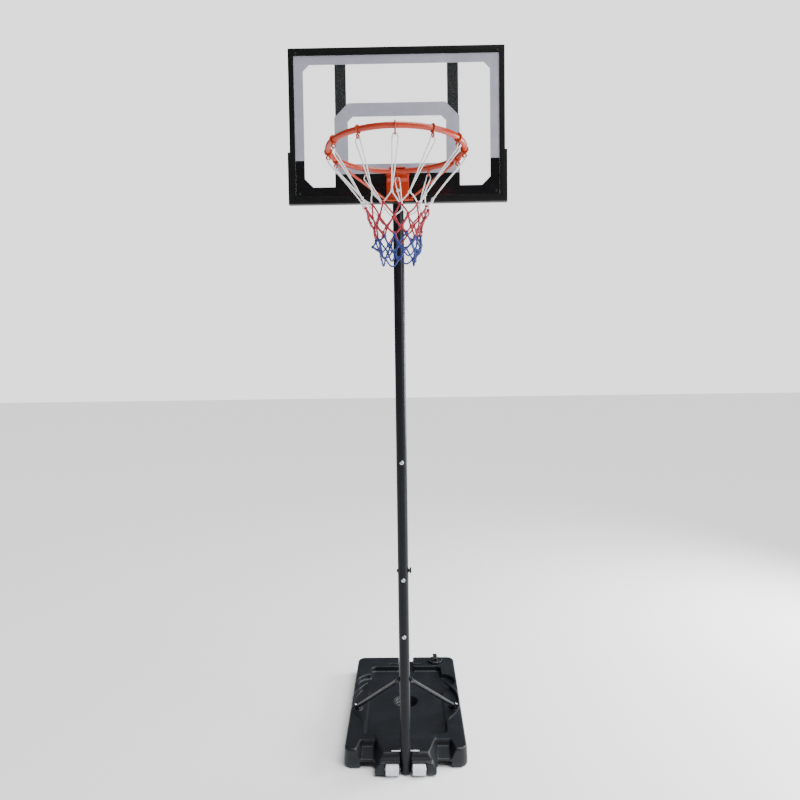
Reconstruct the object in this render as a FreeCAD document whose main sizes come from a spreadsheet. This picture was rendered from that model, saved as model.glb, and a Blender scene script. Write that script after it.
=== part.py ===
# Portable basketball hoop: a water-filled base with two rollers, a pole in three
# lengths that telescopes, a framed clear backboard, and an orange rim with a net.
# Frame: +X right, +Y to the back of the base, +Z up; the origin is the centre of
# the base's footprint on the ground. Millimetres.
import FreeCAD
import Part
import Sketcher
import math
import os
import re
from FreeCAD import Placement, Rotation, Vector

os.makedirs("parts", exist_ok=True)
doc = FreeCAD.newDocument("portable_hoop")
sheet = doc.addObject("Spreadsheet::Sheet", "Dims")

DIMENSIONS = {
    # base tank
    "base_width": 510, "base_length": 832, "base_height": 82, "base_corner": 38,
    "tank_wall": 3, "tank_draft": 3, "fill_level": 64,
    # raised block and lug round the pole's foot; fronts and backs are measured from the pole
    "block_half": 124, "block_front": -12, "block_shoulder": 74, "block_height": 90,
    "block_top_back": 95, "block_back": 135, "lug_front": -27, "lug_low": 8, "lug_shoulder": 55,
    "lug_height": 62, "slot_half": 22.5, "slot_back": 26,
    # sunk panel, strut pocket, scallops, channel, slit and dish
    "panel_half": 175, "panel_front": 145, "panel_back": 745, "panel_floor": 57,
    "panel_corner": 24, "panel_draft": 6, "pocket_radius": 243, "pocket_back": 417,
    "pocket_floor": 64, "scallop_radius": 66, "scallop_side": 170, "scallop_back": 600,
    "channel_half": 37, "slit_half": 87, "slit_front": 771, "slit_back": 779, "slit_floor": 70,
    "dish_back": 452, "dish_floor": 8, "dish_low_radius": 36, "dish_high_radius": 60,
    # wells beside the rollers, the gaps under them, roller pockets and strut lugs
    "well_inner": 130, "well_outer": 184, "well_front": -40, "well_back": 99,
    "well_front_floor": 18, "well_back_floor": 55, "well_front_flare": 66, "well_back_flare": 12,
    "gap_outer": 186, "gap_back": 85, "gap_height": 27, "roller_pocket_inner": 26,
    "roller_pocket_outer": 84, "roller_pocket_back": 14, "roller_pocket_height": 54,
    "strut_lug_radius": 24, "strut_lug_side": 222, "strut_lug_reach": 246, "strut_lug_height": 76,
    # centre of the pole, measured from the centre of the base
    "pole_back": -446,
    # pole
    "pole_outer": 42, "pole_wall": 1.5, "pole_bottom": 15, "lower_joint": 582,
    "upper_joint": 1275, "pole_top": 2385, "swage_length": 60, "swage_outer": 38.9,
    "inner_outer": 38.2, "inner_bottom": 405, "inner_top": 1195,
    # fixings on the pole
    "pin_height": 94, "pin_dia": 6, "pin_length": 112, "strut_top_height": 390,
    "lower_bolt_height": 569, "set_screw_height": 797, "clamp_height": 830,
    "upper_bolt_height": 1262, "screw_head_dia": 16, "screw_head_thick": 6, "screw_dia": 6,
    # struts
    "strut_dia": 16, "strut_wall": 1.5, "strut_foot_side": 232, "strut_foot_back": 380,
    "strut_foot_height": 78,
    # rollers
    "roller_dia": 48, "roller_width": 53, "roller_inner": 27.5, "roller_forward": 16,
    "roller_height": 28, "axle_dia": 8,
    # filler cap
    "cap_side": 153, "cap_back": 354, "cap_dia": 76, "cap_thick": 9, "neck_bore": 45,
    "grip_length": 58, "grip_width": 24, "grip_height": 20,
    # backboard
    "board_front": 71, "board_bottom": 2246, "board_top": 2813, "upper_frame_width": 800,
    "lower_frame_width": 816, "frame_step": 2436, "frame_lip": 3, "frame_depth": 26,
    "top_band": 29, "side_band": 21, "bottom_band": 27, "frame_wall": 12,
    "panel_thick": 4, "print_thick": 0.3,
    "stripe_inner_top": 2751.5, "stripe_inner_side": 345, "stripe_chamfer": 23,
    "target_half": 232, "target_top": 2612, "target_bottom": 2354, "window_half": 182,
    "window_top": 2562, "window_bottom": 2390, "target_chamfer": 52, "window_chamfer": 18,
    "black_side_top": 2405, "black_band_top": 2307, "black_chamfer": 31,
    # carrier behind the board
    "bar_centre": 208.5, "bar_width": 40, "bar_depth": 20, "bar_wall": 1.5,
    "crossbar_low": 2290, "crossbar_high": 2360, "crossbar_tall": 32, "crossbar_thick": 5,
    # rim
    "rim_height": 2337, "rim_forward": 305, "rim_radius": 221, "rim_tube": 18,
    "bracket_width": 84, "bracket_low": 2252, "bracket_thick": 4, "plate_front_width": 58,
    "brace_dia": 9, "brace_angle": 30, "clip_count": 12, "clip_wire": 5, "clip_shift": 8,
    # net
    "net_white_low": 2169, "net_red_low": 2066, "net_blue_low": 1969,
    "net_top_radius": 214, "net_white_radius": 106, "net_red_radius": 78,
    "net_blue_radius": 70, "net_shell": 1.2,
}
for row, (alias, value) in enumerate(DIMENSIONS.items(), start=1):
    sheet.set(f"A{row}", alias.replace("_", " "))
    sheet.set(f"B{row}", str(value))
    sheet.setAlias(f"B{row}", alias)
doc.recompute()

ALIAS_WORD = re.compile(r"\b(" + "|".join(DIMENSIONS) + r")\b")
TURN = {"z": Rotation(), "x": Rotation(Vector(0, 1, 0), 90), "y": Rotation(Vector(1, 0, 0), -90)}
SUB_PARTS = []
ABOVE, BEHIND = 110, 460  # cutters run past the tank's top and back


# ---------------------------------------------------------------- helpers
def dim(alias):
    """Value of a driving dimension."""
    return float(getattr(sheet, alias))


def on_sheet(text):
    """Expression text with every alias pointing at the sheet."""
    return ALIAS_WORD.sub(r"Dims.\1", str(text))


def bind(obj, **expressions):
    for prop, text in expressions.items():
        obj.setExpression(prop, on_sheet(text))
    return obj


def place(obj, at, axis="z"):
    obj.Placement = Placement(Vector(), TURN[axis])
    for name, text in zip("xyz", at):
        obj.setExpression("Placement.Base." + name, on_sheet(text))
    return obj


def cylinder(name, radius, height, at=(0, 0, 0), axis="z"):
    rod = doc.addObject("Part::Cylinder", name)
    bind(rod, Radius=radius, Height=height)
    return place(rod, at, axis)


def cone(name, low_radius, high_radius, height, at):
    solid = doc.addObject("Part::Cone", name)
    bind(solid, Radius1=low_radius, Radius2=high_radius, Height=height)
    return place(solid, at)


def box(name, size, at):
    block = doc.addObject("Part::Box", name)
    bind(block, Length=size[0], Width=size[1], Height=size[2])
    return place(block, at)


def prism(name, radius, height, at, axis, sides=6):
    nut = doc.addObject("Part::Prism", name)
    nut.Polygon = sides
    bind(nut, Circumradius=radius, Height=height)
    return place(nut, at, axis)


def cut(name, base, tool):
    result = doc.addObject("Part::Cut", name)
    result.Base = base
    result.Tool = tool
    return result


def fuse(name, pieces):
    result = doc.addObject("Part::MultiFuse", name)
    result.Shapes = pieces
    return result


def group(name, pieces):
    result = doc.addObject("Part::Compound", name)
    result.Links = pieces
    return result


def feature(name, shape):
    result = doc.addObject("Part::Feature", name)
    result.Shape = shape
    return result


def sub_part(label, obj):
    """Names the sub-part; its label is also its file's name."""
    obj.Label = label
    SUB_PARTS.append(obj)
    return obj


def origin_plane(body, role):
    return next(item for item in body.Origin.OriginFeatures if item.Role == role)


def outline(body, role, points):
    """Sketch of a closed outline; every corner is dimensioned from the origin."""
    sketch = body.newObject("Sketcher::SketchObject", body.Name + "_outline")
    sketch.AttachmentSupport = [(origin_plane(body, role), "")]
    sketch.MapMode = "FlatFace"
    values = [[evaluate(text) for text in point] for point in points]
    count = len(points)
    for i in range(count):
        start = Vector(*values[i], 0)
        end = Vector(*values[(i + 1) % count], 0)
        sketch.addGeometry(Part.LineSegment(start, end), False)
    for i in range(count):
        sketch.addConstraint(Sketcher.Constraint("Coincident", i, 2, (i + 1) % count, 1))
    for i, point in enumerate(points):
        for kind, axis, text, value in zip(("DistanceX", "DistanceY"), (-2, -1), point, values[i]):
            if abs(value) < 1e-9:
                sketch.addConstraint(Sketcher.Constraint("PointOnObject", i, 1, axis))
                continue
            index = sketch.addConstraint(Sketcher.Constraint(kind, -1, 1, i, 1, value))
            name = f"{kind}_{i}"
            sketch.renameConstraint(index, name)
            sketch.setExpression("Constraints." + name, on_sheet(text))
    return sketch


def evaluate(text):
    """Number that an expression on the sheet gives."""
    return float(sheet.evalExpression(str(text)))


def pad(label, role, points, length, at=(0, 0, 0), symmetric=False):
    body = doc.addObject("PartDesign::Body", label + "_body")
    sketch = outline(body, role, points)
    solid = body.newObject("PartDesign::Pad", label + "_pad")
    solid.Profile = sketch
    solid.Midplane = symmetric
    bind(solid, Length=length)
    body.Tip = solid
    return place(body, at)


def revolve(label, points, at, axis="z"):
    """Turned piece: the outline's first number is the radius, the second the height."""
    body = doc.addObject("PartDesign::Body", label + "_body")
    sketch = outline(body, "XZ_Plane", points)
    solid = body.newObject("PartDesign::Revolution", label + "_turned")
    solid.Profile = sketch
    solid.ReferenceAxis = (sketch, ["V_Axis"])
    solid.Angle = 360
    body.Tip = solid
    return place(body, at, axis)


def mirrored_sides():
    return (("left", -1), ("right", 1))


# ---------------------------------------------------------------- base tank
def rounded_wire(x0, x1, y0, y1, radius, z):
    """Closed wire of a rectangle with round corners at one height."""
    corners = []
    centres = [(x1 - radius, y0 + radius, -90), (x1 - radius, y1 - radius, 0),
               (x0 + radius, y1 - radius, 90), (x0 + radius, y0 + radius, 180)]
    for cx, cy, start in centres:
        turns = [math.radians(start + part) for part in (0, 45, 90)]
        spots = [Vector(cx + radius * math.cos(t), cy + radius * math.sin(t), z) for t in turns]
        corners.append((Part.Arc(*spots).toShape(), spots[0], spots[2]))
    edges = []
    for i, (edge, first, last) in enumerate(corners):
        edges.append(edge)
        edges.append(Part.LineSegment(last, corners[(i + 1) % 4][1]).toShape())
    return Part.Wire(edges)


def solid_loft(wires):
    """Ruled solid through closed wires, with its faces turned outwards."""
    solid = Part.makeLoft(wires, True, True)
    if solid.Volume < 0:
        solid.reverse()
    return solid


def drafted(x_range, y_range, z_range, radius, draft):
    """Block with round corners whose top is wider than its bottom by the draft on each side."""
    low = rounded_wire(x_range[0], x_range[1], y_range[0], y_range[1], radius, z_range[0])
    high = rounded_wire(x_range[0] - draft, x_range[1] + draft, y_range[0] - draft,
                        y_range[1] + draft, radius + draft, z_range[1])
    return solid_loft([low, high])


def block(x_range, y_range, z_range):
    size = [high - low for low, high in (x_range, y_range, z_range)]
    return Part.makeBox(*size, Vector(x_range[0], y_range[0], z_range[0]))


def side_profile(points, x_range):
    """Solid with a side outline of (y, z) points, run across the x range."""
    corners = [Vector(x_range[0], y, z) for y, z in points]
    face = Part.Face(Part.makePolygon(corners + [corners[0]]))
    return face.extrude(Vector(x_range[1] - x_range[0], 0, 0))


def front_section(x_low, x_high, flare, z_low, z_high, y):
    """Slanted-sided outline across the base, wider at the top by the flare on each side."""
    corners = [Vector(x_low, y, z_low), Vector(x_high, y, z_low),
               Vector(x_high + flare, y, z_high), Vector(x_low - flare, y, z_high)]
    return Part.makePolygon(corners + [corners[0]])


def well(side, grow):
    """Sloping-floored well beside a roller, open at the front and flared most there."""
    x_inner, x_outer = dim("well_inner") - grow, dim("well_outer") + grow
    x_low, x_high = (x_inner, x_outer) if side > 0 else (-x_outer, -x_inner)
    ends = []
    for end, stretch in (("front", 0), ("back", grow)):
        floor, flare = dim(f"well_{end}_floor") - grow, dim(f"well_{end}_flare")
        y = dim("pole_back") + dim(f"well_{end}") + stretch
        ends.append(front_section(x_low, x_high, flare, floor, ABOVE, y))
    return solid_loft(ends)


def across(inner, outer, side):
    """Range of x between two distances from the middle, on one side."""
    return sorted((side * inner, side * outer))


def tank_block(inset):
    """Raised block and lug round the pole's foot, before the slots are cut."""
    pole_y, half = dim("pole_back"), dim("block_half") - inset
    front, back = pole_y + dim("block_front") + inset, pole_y + dim("block_back") - inset
    raised, top = dim("block_height") - inset, dim("base_height") - inset
    outline_yz = [(front, inset), (front, dim("block_shoulder")), (pole_y + inset, raised),
                  (pole_y + dim("block_top_back"), raised), (back, top - 1), (back, inset)]
    solid = side_profile(outline_yz, (-half, half))
    lug_front, lug_low = pole_y + dim("lug_front") + inset, dim("lug_low") + inset
    lug_top, inside = dim("lug_height") - inset, pole_y + 20
    lug = [(lug_front, lug_low), (lug_front, dim("lug_shoulder") - inset), (front, lug_top),
           (inside, lug_top), (inside, lug_low)]
    return solid.fuse(side_profile(lug, (-half, half)))


def tank_recesses(inset):
    """Everything that is sunk into the tank or cut out of it."""
    pole_y = dim("pole_back")
    half, low, high = dim("panel_half") + inset, dim("panel_front") - inset, dim("panel_back") + inset
    floor = dim("panel_floor") - inset
    yield drafted((-half, half), (pole_y + low, pole_y + high), (floor, ABOVE),
                  dim("panel_corner") + inset, dim("panel_draft"))
    yield Part.makeCylinder(dim("pocket_radius") + inset, 60,
                            Vector(0, pole_y + dim("pocket_back"), dim("pocket_floor") - inset))
    half = dim("channel_half") + inset
    yield block((-half, half), (pole_y + high - 15, BEHIND), (floor, ABOVE))
    half = dim("slit_half") + inset
    yield block((-half, half), (pole_y + dim("slit_front") - inset, pole_y + dim("slit_back") + inset),
                (dim("slit_floor") - inset, ABOVE))
    yield Part.makeCone(dim("dish_low_radius") + inset, dim("dish_high_radius") + inset, 60,
                        Vector(0, pole_y + dim("dish_back"), dim("dish_floor") - inset))
    half = dim("slot_half") + inset
    yield block((-half, half), (pole_y - 60, pole_y + dim("slot_back") + inset), (-5, ABOVE))
    for side in (-1, 1):
        centre = Vector(side * dim("scallop_side"), pole_y + dim("scallop_back"), floor)
        yield Part.makeCylinder(dim("scallop_radius") + inset, 60, centre)
        yield well(side, inset)
        yield block(across(dim("well_inner") - inset, dim("gap_outer") + inset, side),
                    (pole_y - 60, pole_y + dim("gap_back") + inset), (-5, dim("gap_height") + inset))
        yield block(across(dim("roller_pocket_inner") - inset, dim("roller_pocket_outer") + inset, side),
                    (pole_y - 60, pole_y + dim("roller_pocket_back") + inset),
                    (-5, dim("roller_pocket_height") + inset))


def tank_body(inset):
    """The tank's outside, or with an inset its hollow: outside smaller, recesses larger."""
    half_width, half_length = dim("base_width") / 2 - inset, dim("base_length") / 2 - inset
    body = drafted((-half_width, half_width), (-half_length, half_length),
                   (inset, dim("base_height") - inset), dim("base_corner") - inset, -dim("tank_draft"))
    body = body.fuse(tank_block(inset)).removeSplitter()
    body = body.cut(list(tank_recesses(inset)))
    reach, top = dim("strut_lug_reach") - inset, dim("strut_lug_height")
    foot_y = dim("pole_back") + dim("strut_foot_back")
    for side in (-1, 1):
        lug = Part.makeCylinder(dim("strut_lug_radius") - inset, top - 60,
                                Vector(side * dim("strut_lug_side"), foot_y, 60))
        body = body.fuse(lug.common(block((-reach, reach), (-500, 500), (0, top - inset))))
    return body.removeSplitter()


def largest(shape):
    return max(shape.Solids, key=lambda solid: solid.Volume)


def make_base():
    """Tank shell with its bores, and the water that fills it."""
    wall, pole_y = dim("tank_wall"), dim("pole_back")
    hollow = largest(tank_body(wall))
    cap_centre = Vector(dim("cap_side"), dim("cap_back"), 0)
    neck = Part.makeCylinder(dim("neck_bore") / 2 + wall + 2, 22, cap_centre + Vector(0, 0, 60))
    hollow = hollow.cut(neck)
    bore = Part.makeCylinder(dim("neck_bore") / 2, 60, cap_centre + Vector(0, 0, 55))
    axle_line = Vector(0, pole_y - dim("roller_forward"), dim("roller_height"))
    for side in (-1, 1):
        sleeve = Part.makeCylinder(dim("axle_dia") / 2 + wall, 96, axle_line + Vector(side * 20, 0, 0),
                                   Vector(side, 0, 0))
        hollow = largest(hollow.cut(sleeve))
    shell = tank_body(0).cut(hollow).cut(bore)
    fill = largest(hollow.common(block((-300, 300), (-600, 600), (0, dim("fill_level")))))
    for side in (-1, 1):
        start = axle_line + Vector(side * 20, 0, 0)
        shell = shell.cut(Part.makeCylinder(dim("axle_dia") / 2, 92, start, Vector(side, 0, 0)))
        foot = Vector(side * dim("strut_foot_side"), pole_y + dim("strut_foot_back"), 0)
        shell = shell.cut(Part.makeCylinder(dim("screw_dia") / 2, 40, foot + Vector(0, 0, 60)))
        fill = fill.cut(Part.makeCylinder(dim("screw_dia"), 40, foot + Vector(0, 0, 50)))
    sub_part("base_tank", feature("base_tank_shell", shell))
    sub_part("ballast_fill", feature("ballast_water", fill))


def make_filler_cap():
    """Screw cap with a bar grip, its threaded plug and its rubber washer."""
    at = ("cap_side", "cap_back", "base_height")
    washer_ring = cylinder("cap_washer_ring", "cap_dia / 2 - 4", 2, at)
    washer_hole = cylinder("cap_washer_hole", "neck_bore / 2 - 0.2", 4,
                           ("cap_side", "cap_back", "base_height - 1"))
    sub_part("cap_seal", cut("cap_washer", washer_ring, washer_hole))
    disc = cylinder("cap_disc", "cap_dia / 2", "cap_thick",
                    ("cap_side", "cap_back", "base_height + 2.2"))
    sub_part("cap_thread", cylinder("cap_plug", "neck_bore / 2 - 0.5", 17.2,
                                    ("cap_side", "cap_back", "base_height - 15")))
    grip = box("cap_grip", ("grip_width", "grip_length", "grip_height"),
               ("cap_side - grip_width / 2", "cap_back - grip_length / 2", "base_height + 2 + cap_thick"))
    sub_part("filler_cap", fuse("cap_screw", [disc, grip]))


def make_rollers():
    for name, side in mirrored_sides():
        inner = "roller_inner" if side > 0 else "-roller_inner - roller_width"
        at = (inner, "pole_back - roller_forward", "roller_height")
        radius, width, bore = "roller_dia / 2", "roller_width", "axle_dia / 2 + 0.06"
        points = [(bore, 1), ("axle_dia / 2 + 6", 0), ("axle_dia / 2 + 6", 5), ("roller_dia / 2 - 6", 5),
                  ("roller_dia / 2 - 5", 0), ("roller_dia / 2 - 2", 0), (radius, 2),
                  (radius, "roller_width - 2"), ("roller_dia / 2 - 2", width),
                  ("roller_dia / 2 - 5", width), ("roller_dia / 2 - 6", "roller_width - 5"),
                  ("axle_dia / 2 + 6", "roller_width - 5"), ("axle_dia / 2 + 6", width),
                  (bore, "roller_width - 1")]
        sub_part("roller_" + name, revolve("roller_" + name, points, at, "x"))
        start = "22.5" if side > 0 else "-22.5 - 88"
        axle = cylinder("axle_rod_" + name, "axle_dia / 2", 88,
                        (start, "pole_back - roller_forward", "roller_height"), "x")
        sub_part("axle_" + name, axle)


# ---------------------------------------------------------------- struts
def flat_ellipse(centre, along, across, half_width, half_thick):
    """Ellipse wire about a centre, long in one direction and thin in the other."""
    ellipse = Part.Ellipse(Vector(0, 0, 0), half_width, half_thick)
    shape = Part.Wire(ellipse.toShape())
    turn = Rotation(along, across, Vector(0, 0, 0), "XYZ")
    shape.Placement = Placement(centre, turn)
    return shape


def strut_shape(side):
    """Steel tube with both ends pressed flat and bolted."""
    pole_y = dim("pole_back")
    face_x = dim("pole_outer") / 2
    top = Vector(side * (face_x + 1.6), pole_y, dim("strut_top_height"))
    foot = Vector(side * dim("strut_foot_side"), pole_y + dim("strut_foot_back"),
                  dim("strut_foot_height"))
    slope = foot - top
    slope.normalize()
    in_side_plane = Vector(0, slope.y, slope.z)
    in_side_plane.normalize()
    in_floor_plane = Vector(slope.x, slope.y, 0)
    in_floor_plane.normalize()
    tube_top = top + in_side_plane * 14 + slope * 30
    tube_foot = foot - in_floor_plane * 14 - slope * 30
    line = tube_foot - tube_top
    direction = Vector(line)
    direction.normalize()
    radius = dim("strut_dia") / 2
    tube = Part.makeCylinder(radius, line.Length, tube_top, direction)
    bore = Part.makeCylinder(radius - dim("strut_wall"), line.Length, tube_top, direction)
    tube = tube.cut(bore)
    across_x = Vector(1, 0, 0)
    up = Vector(0, 0, 1)
    pieces = [tube]
    for end, flat_direction, flat_normal, tube_end, sign in (
            (top, in_side_plane, across_x, tube_top, 1), (foot, in_floor_plane, up, tube_foot, -1)):
        edge_direction = flat_normal.cross(flat_direction)
        flat_start = end + flat_direction * (sign * 12)
        thin = flat_ellipse(flat_start, edge_direction, flat_normal, 12, 1.6)
        round_end = Part.Wire(Part.Circle(tube_end, direction, radius).toShape())
        pieces.append(solid_loft([thin, round_end]))
        tongue = Part.makeCylinder(8, 3, end - flat_normal * 1.5, flat_normal)
        strap = Part.makeBox(18, 16, 3, Vector(-9, -8, -1.5))
        strap.Placement = Placement(end + flat_direction * (sign * 9),
                                    Rotation(flat_direction, edge_direction, flat_normal, "XYZ"))
        hole = Part.makeCylinder(3 if flat_normal.z else 4, 30, end - flat_normal * 15, flat_normal)
        pieces[-1] = pieces[-1].fuse([tongue, strap]).cut(hole)
    return pieces[0].fuse(pieces[1:])


def make_struts():
    for name, side in mirrored_sides():
        sub_part("strut_" + name, feature("strut_tube_" + name, strut_shape(side)))
    bolt_at = ("-29", "pole_back", "strut_top_height")
    shank = cylinder("strut_bolt_shank", 4, 58, bolt_at, "x")
    head = prism("strut_bolt_head", 8, 5, ("-29.2", "pole_back", "strut_top_height"), "x")
    nut = prism("strut_bolt_nut", 8, 6, ("24.2", "pole_back", "strut_top_height"), "x")
    sub_part("strut_top_bolt", fuse("strut_bolt", [shank, head, nut]))
    feet = []
    for name, side in mirrored_sides():
        x, y = f"{side} * strut_foot_side", "pole_back + strut_foot_back"
        stem = cylinder("foot_stem_" + name, 3, 20, (x, y, "strut_foot_height - 14"))
        top = prism("foot_head_" + name, 7, 5, (x, y, "strut_foot_height + 1.5"), "z")
        feet.append(fuse("foot_bolt_" + name, [stem, top]))
    sub_part("strut_foot_bolts", group("foot_bolts", feet))


# ---------------------------------------------------------------- pole
def pole_tube(name, outer, low, high):
    """Round tube between two heights on the pole's axis."""
    outside = cylinder(name + "_outside", f"({outer}) / 2", f"({high}) - ({low})", (0, "pole_back", low))
    inside = cylinder(name + "_bore", f"({outer}) / 2 - pole_wall", f"({high}) - ({low}) + 2",
                      (0, "pole_back", f"({low}) - 1"))
    return cut(name + "_tube", outside, inside)


def drill(name, tube, holes):
    """Cross holes in a tube: (axis, radius, start, length, height)."""
    tools = []
    for i, (axis, radius, start, length, height) in enumerate(holes):
        at = (start, "pole_back", height) if axis == "x" else (0, f"pole_back + ({start})", height)
        tools.append(cylinder(f"{name}_hole_{i}", radius, length, at, axis))
    tool = tools[0] if len(tools) == 1 else fuse(name + "_holes", tools)
    return cut(name + "_drilled", tube, tool)


def make_pole():
    lower = pole_tube("lower", "pole_outer", "pole_bottom", "lower_joint")
    lower = drill("lower", lower, [("x", "pin_dia / 2", -40, 80, "pin_height"),
                                   ("x", 4, -40, 80, "strut_top_height"),
                                   ("y", "screw_dia / 2", -40, 30, "lower_bolt_height")])
    sub_part("lower_pole", lower)
    inner = pole_tube("inner", "inner_outer", "inner_bottom", "inner_top")
    inner = drill("inner", inner, [("y", "screw_dia / 2", -40, 30, "lower_bolt_height")])
    sub_part("inner_pole", inner)
    middle = pole_tube("middle", "pole_outer", "lower_joint + 0.3", "upper_joint")
    middle = drill("middle", middle, [("x", "screw_dia / 2", -40, 80, "clamp_height"),
                                      ("y", "screw_dia / 2", -40, 30, "set_screw_height"),
                                      ("y", "screw_dia / 2", -40, 30, "upper_bolt_height")])
    sub_part("middle_pole", middle)
    bore, swage = "pole_outer / 2 - pole_wall", "swage_outer / 2"
    profile = [("swage_outer / 2 - pole_wall", "upper_joint - swage_length"),
               (swage, "upper_joint - swage_length"), (swage, "upper_joint"),
               ("pole_outer / 2", "upper_joint"), ("pole_outer / 2", "pole_top"), (bore, "pole_top"),
               (bore, "upper_joint + 6"), ("swage_outer / 2 - pole_wall", "upper_joint")]
    upper = revolve("upper_tube", profile, (0, "pole_back", 0))
    upper = drill("upper", upper, [("y", "screw_dia / 2", -40, 30, "upper_bolt_height")])
    sub_part("top_pole", upper)
    sub_part("pole_pin", cylinder("pin_rod", "pin_dia / 2", "pin_length",
                                  ("-pin_length / 2", "pole_back", "pin_height"), "x"))
    make_pole_plugs()
    make_pole_screws()


def make_pole_plugs():
    bore = "pole_outer / 2 - pole_wall"
    foot = [(0, -2), ("pole_outer / 2", -2), ("pole_outer / 2", 0), (bore, 0), (bore, 18),
            ("pole_outer / 2 - pole_wall - 2", 18), ("pole_outer / 2 - pole_wall - 2", 1), (0, 1)]
    sub_part("pole_foot_plug", revolve("pole_foot_plug", foot, (0, "pole_back", "pole_bottom")))
    top = [(0, 3), ("pole_outer / 2 - 2", 3), ("pole_outer / 2", 0), (bore, 0), (bore, -18),
           ("pole_outer / 2 - pole_wall - 2", -18), ("pole_outer / 2 - pole_wall - 2", -1), (0, -1)]
    sub_part("pole_top_plug", revolve("pole_top_plug", top, (0, "pole_back", "pole_top")))
    inner_bore = "inner_outer / 2 - pole_wall"
    guide = [("inner_outer / 2 - pole_wall - 2", -20), (inner_bore, -20), (inner_bore, 0),
             ("inner_outer / 2 + 0.2", 0), ("inner_outer / 2 + 0.2", 4),
             ("inner_outer / 2 - pole_wall - 2", 4)]
    sub_part("guide_bush", revolve("guide_bush", guide, (0, "pole_back", "inner_top")))


def front_screw(name, height, depth):
    """Round-headed screw in the front of the pole."""
    head = cone(name + "_crown", "screw_head_dia / 2", "screw_head_dia / 2 - 3", "screw_head_thick - 2",
                (0, "pole_back - pole_outer / 2 - 2", height))
    head.Placement.Rotation = Rotation(Vector(1, 0, 0), 90)
    flange = cylinder(name + "_flange", "screw_head_dia / 2", 2,
                      (0, "pole_back - pole_outer / 2 - 2", height), "y")
    shank = cylinder(name + "_shank", "screw_dia / 2", depth,
                     (0, "pole_back - pole_outer / 2 - 1", height), "y")
    return fuse(name + "_screw", [head, flange, shank])


def make_pole_screws():
    sub_part("lower_joint_screw", front_screw("low_joint", "lower_bolt_height", 12))
    sub_part("upper_joint_screw", front_screw("high_joint", "upper_bolt_height", 12))
    sub_part("set_screw", front_screw("height_set", "set_screw_height", 2.2))
    nut = prism("clamp_nut_hexagon", 8, 5, ("pole_outer / 2 - 0.3", "pole_back", "clamp_height"), "x")
    nut_hole = cylinder("clamp_nut_hole", "screw_dia / 2 + 0.05", 9,
                        ("pole_outer / 2 - 2", "pole_back", "clamp_height"), "x")
    nut_bore = cylinder("clamp_nut_seat", "pole_outer / 2", 40, (0, "pole_back", "clamp_height - 20"))
    sub_part("clamp_nut", cut("clamp_nut_body", cut("clamp_nut_drilled", nut, nut_hole), nut_bore))
    stem = cylinder("clamp_stem", "screw_dia / 2 - 0.05", 12,
                    ("pole_outer / 2 - 1.5", "pole_back", "clamp_height"), "x")
    disc = cylinder("clamp_disc", 10, 7, ("pole_outer / 2 + 5.2", "pole_back", "clamp_height"), "x")
    lobes = [cylinder(f"clamp_lobe_{i}", 4, 7,
                      ("pole_outer / 2 + 5.2", f"pole_back + 9 * cos({i * 72})",
                       f"clamp_height + 9 * sin({i * 72})"), "x") for i in range(5)]
    sub_part("clamp_knob", fuse("clamp_knob_body", [stem, disc] + lobes))
    head = cylinder("guide_head", 7, 5, ("-pole_outer / 2 - 5", "pole_back", "clamp_height"), "x")
    shank = cylinder("guide_shank", "screw_dia / 2", 2.8,
                     ("-pole_outer / 2 - 1", "pole_back", "clamp_height"), "x")
    head_seat = cylinder("guide_seat", "pole_outer / 2", 40, (0, "pole_back", "clamp_height - 20"))
    screw = fuse("guide_screw_body", [cut("guide_head_cut", head, head_seat), shank])
    sub_part("guide_screw", screw)


# ---------------------------------------------------------------- backboard
PANEL_Y = "pole_back - board_front"


def frame_rail(label, low, high, half, lip_side):
    """Cross rail with a front lip over the panel's edge; lip_side is 1 where the lip points down."""
    outer, inner = (high, low) if lip_side > 0 else (low, high)
    body_edge = f"({outer}) - ({lip_side}) * frame_wall"
    points = [("-frame_lip", inner), (0, inner), (0, body_edge), ("frame_depth - frame_lip", body_edge),
              ("frame_depth - frame_lip", outer), ("-frame_lip", outer)]
    rail = pad(label, "YZ_Plane", points, f"2 * ({half})", (0, PANEL_Y, 0), symmetric=True)
    if lip_side < 0:
        gap = box("bracket_gap", ("bracket_width + 33", "frame_lip + 1", "board_top - board_bottom"),
                  ("-bracket_width / 2 - 16.5", f"{PANEL_Y} - frame_lip - 1", "bracket_low - 0.5"))
        rail = cut("rail_with_gap", rail, gap)
    return sub_part(label, rail)


def frame_stile(label, side, outer, inner, low, high):
    """Upright with a front lip over the panel's edge."""
    body_edge = f"({outer}) - frame_wall"
    points = [(f"{side} * ({inner})", "-frame_lip"), (f"{side} * ({outer})", "-frame_lip"),
              (f"{side} * ({outer})", "frame_depth - frame_lip"),
              (f"{side} * ({body_edge})", "frame_depth - frame_lip"),
              (f"{side} * ({body_edge})", 0), (f"{side} * ({inner})", 0)]
    stile = pad(label, "XY_Plane", points, f"({high}) - ({low})", (0, PANEL_Y, low))
    return sub_part(label, stile)


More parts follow.
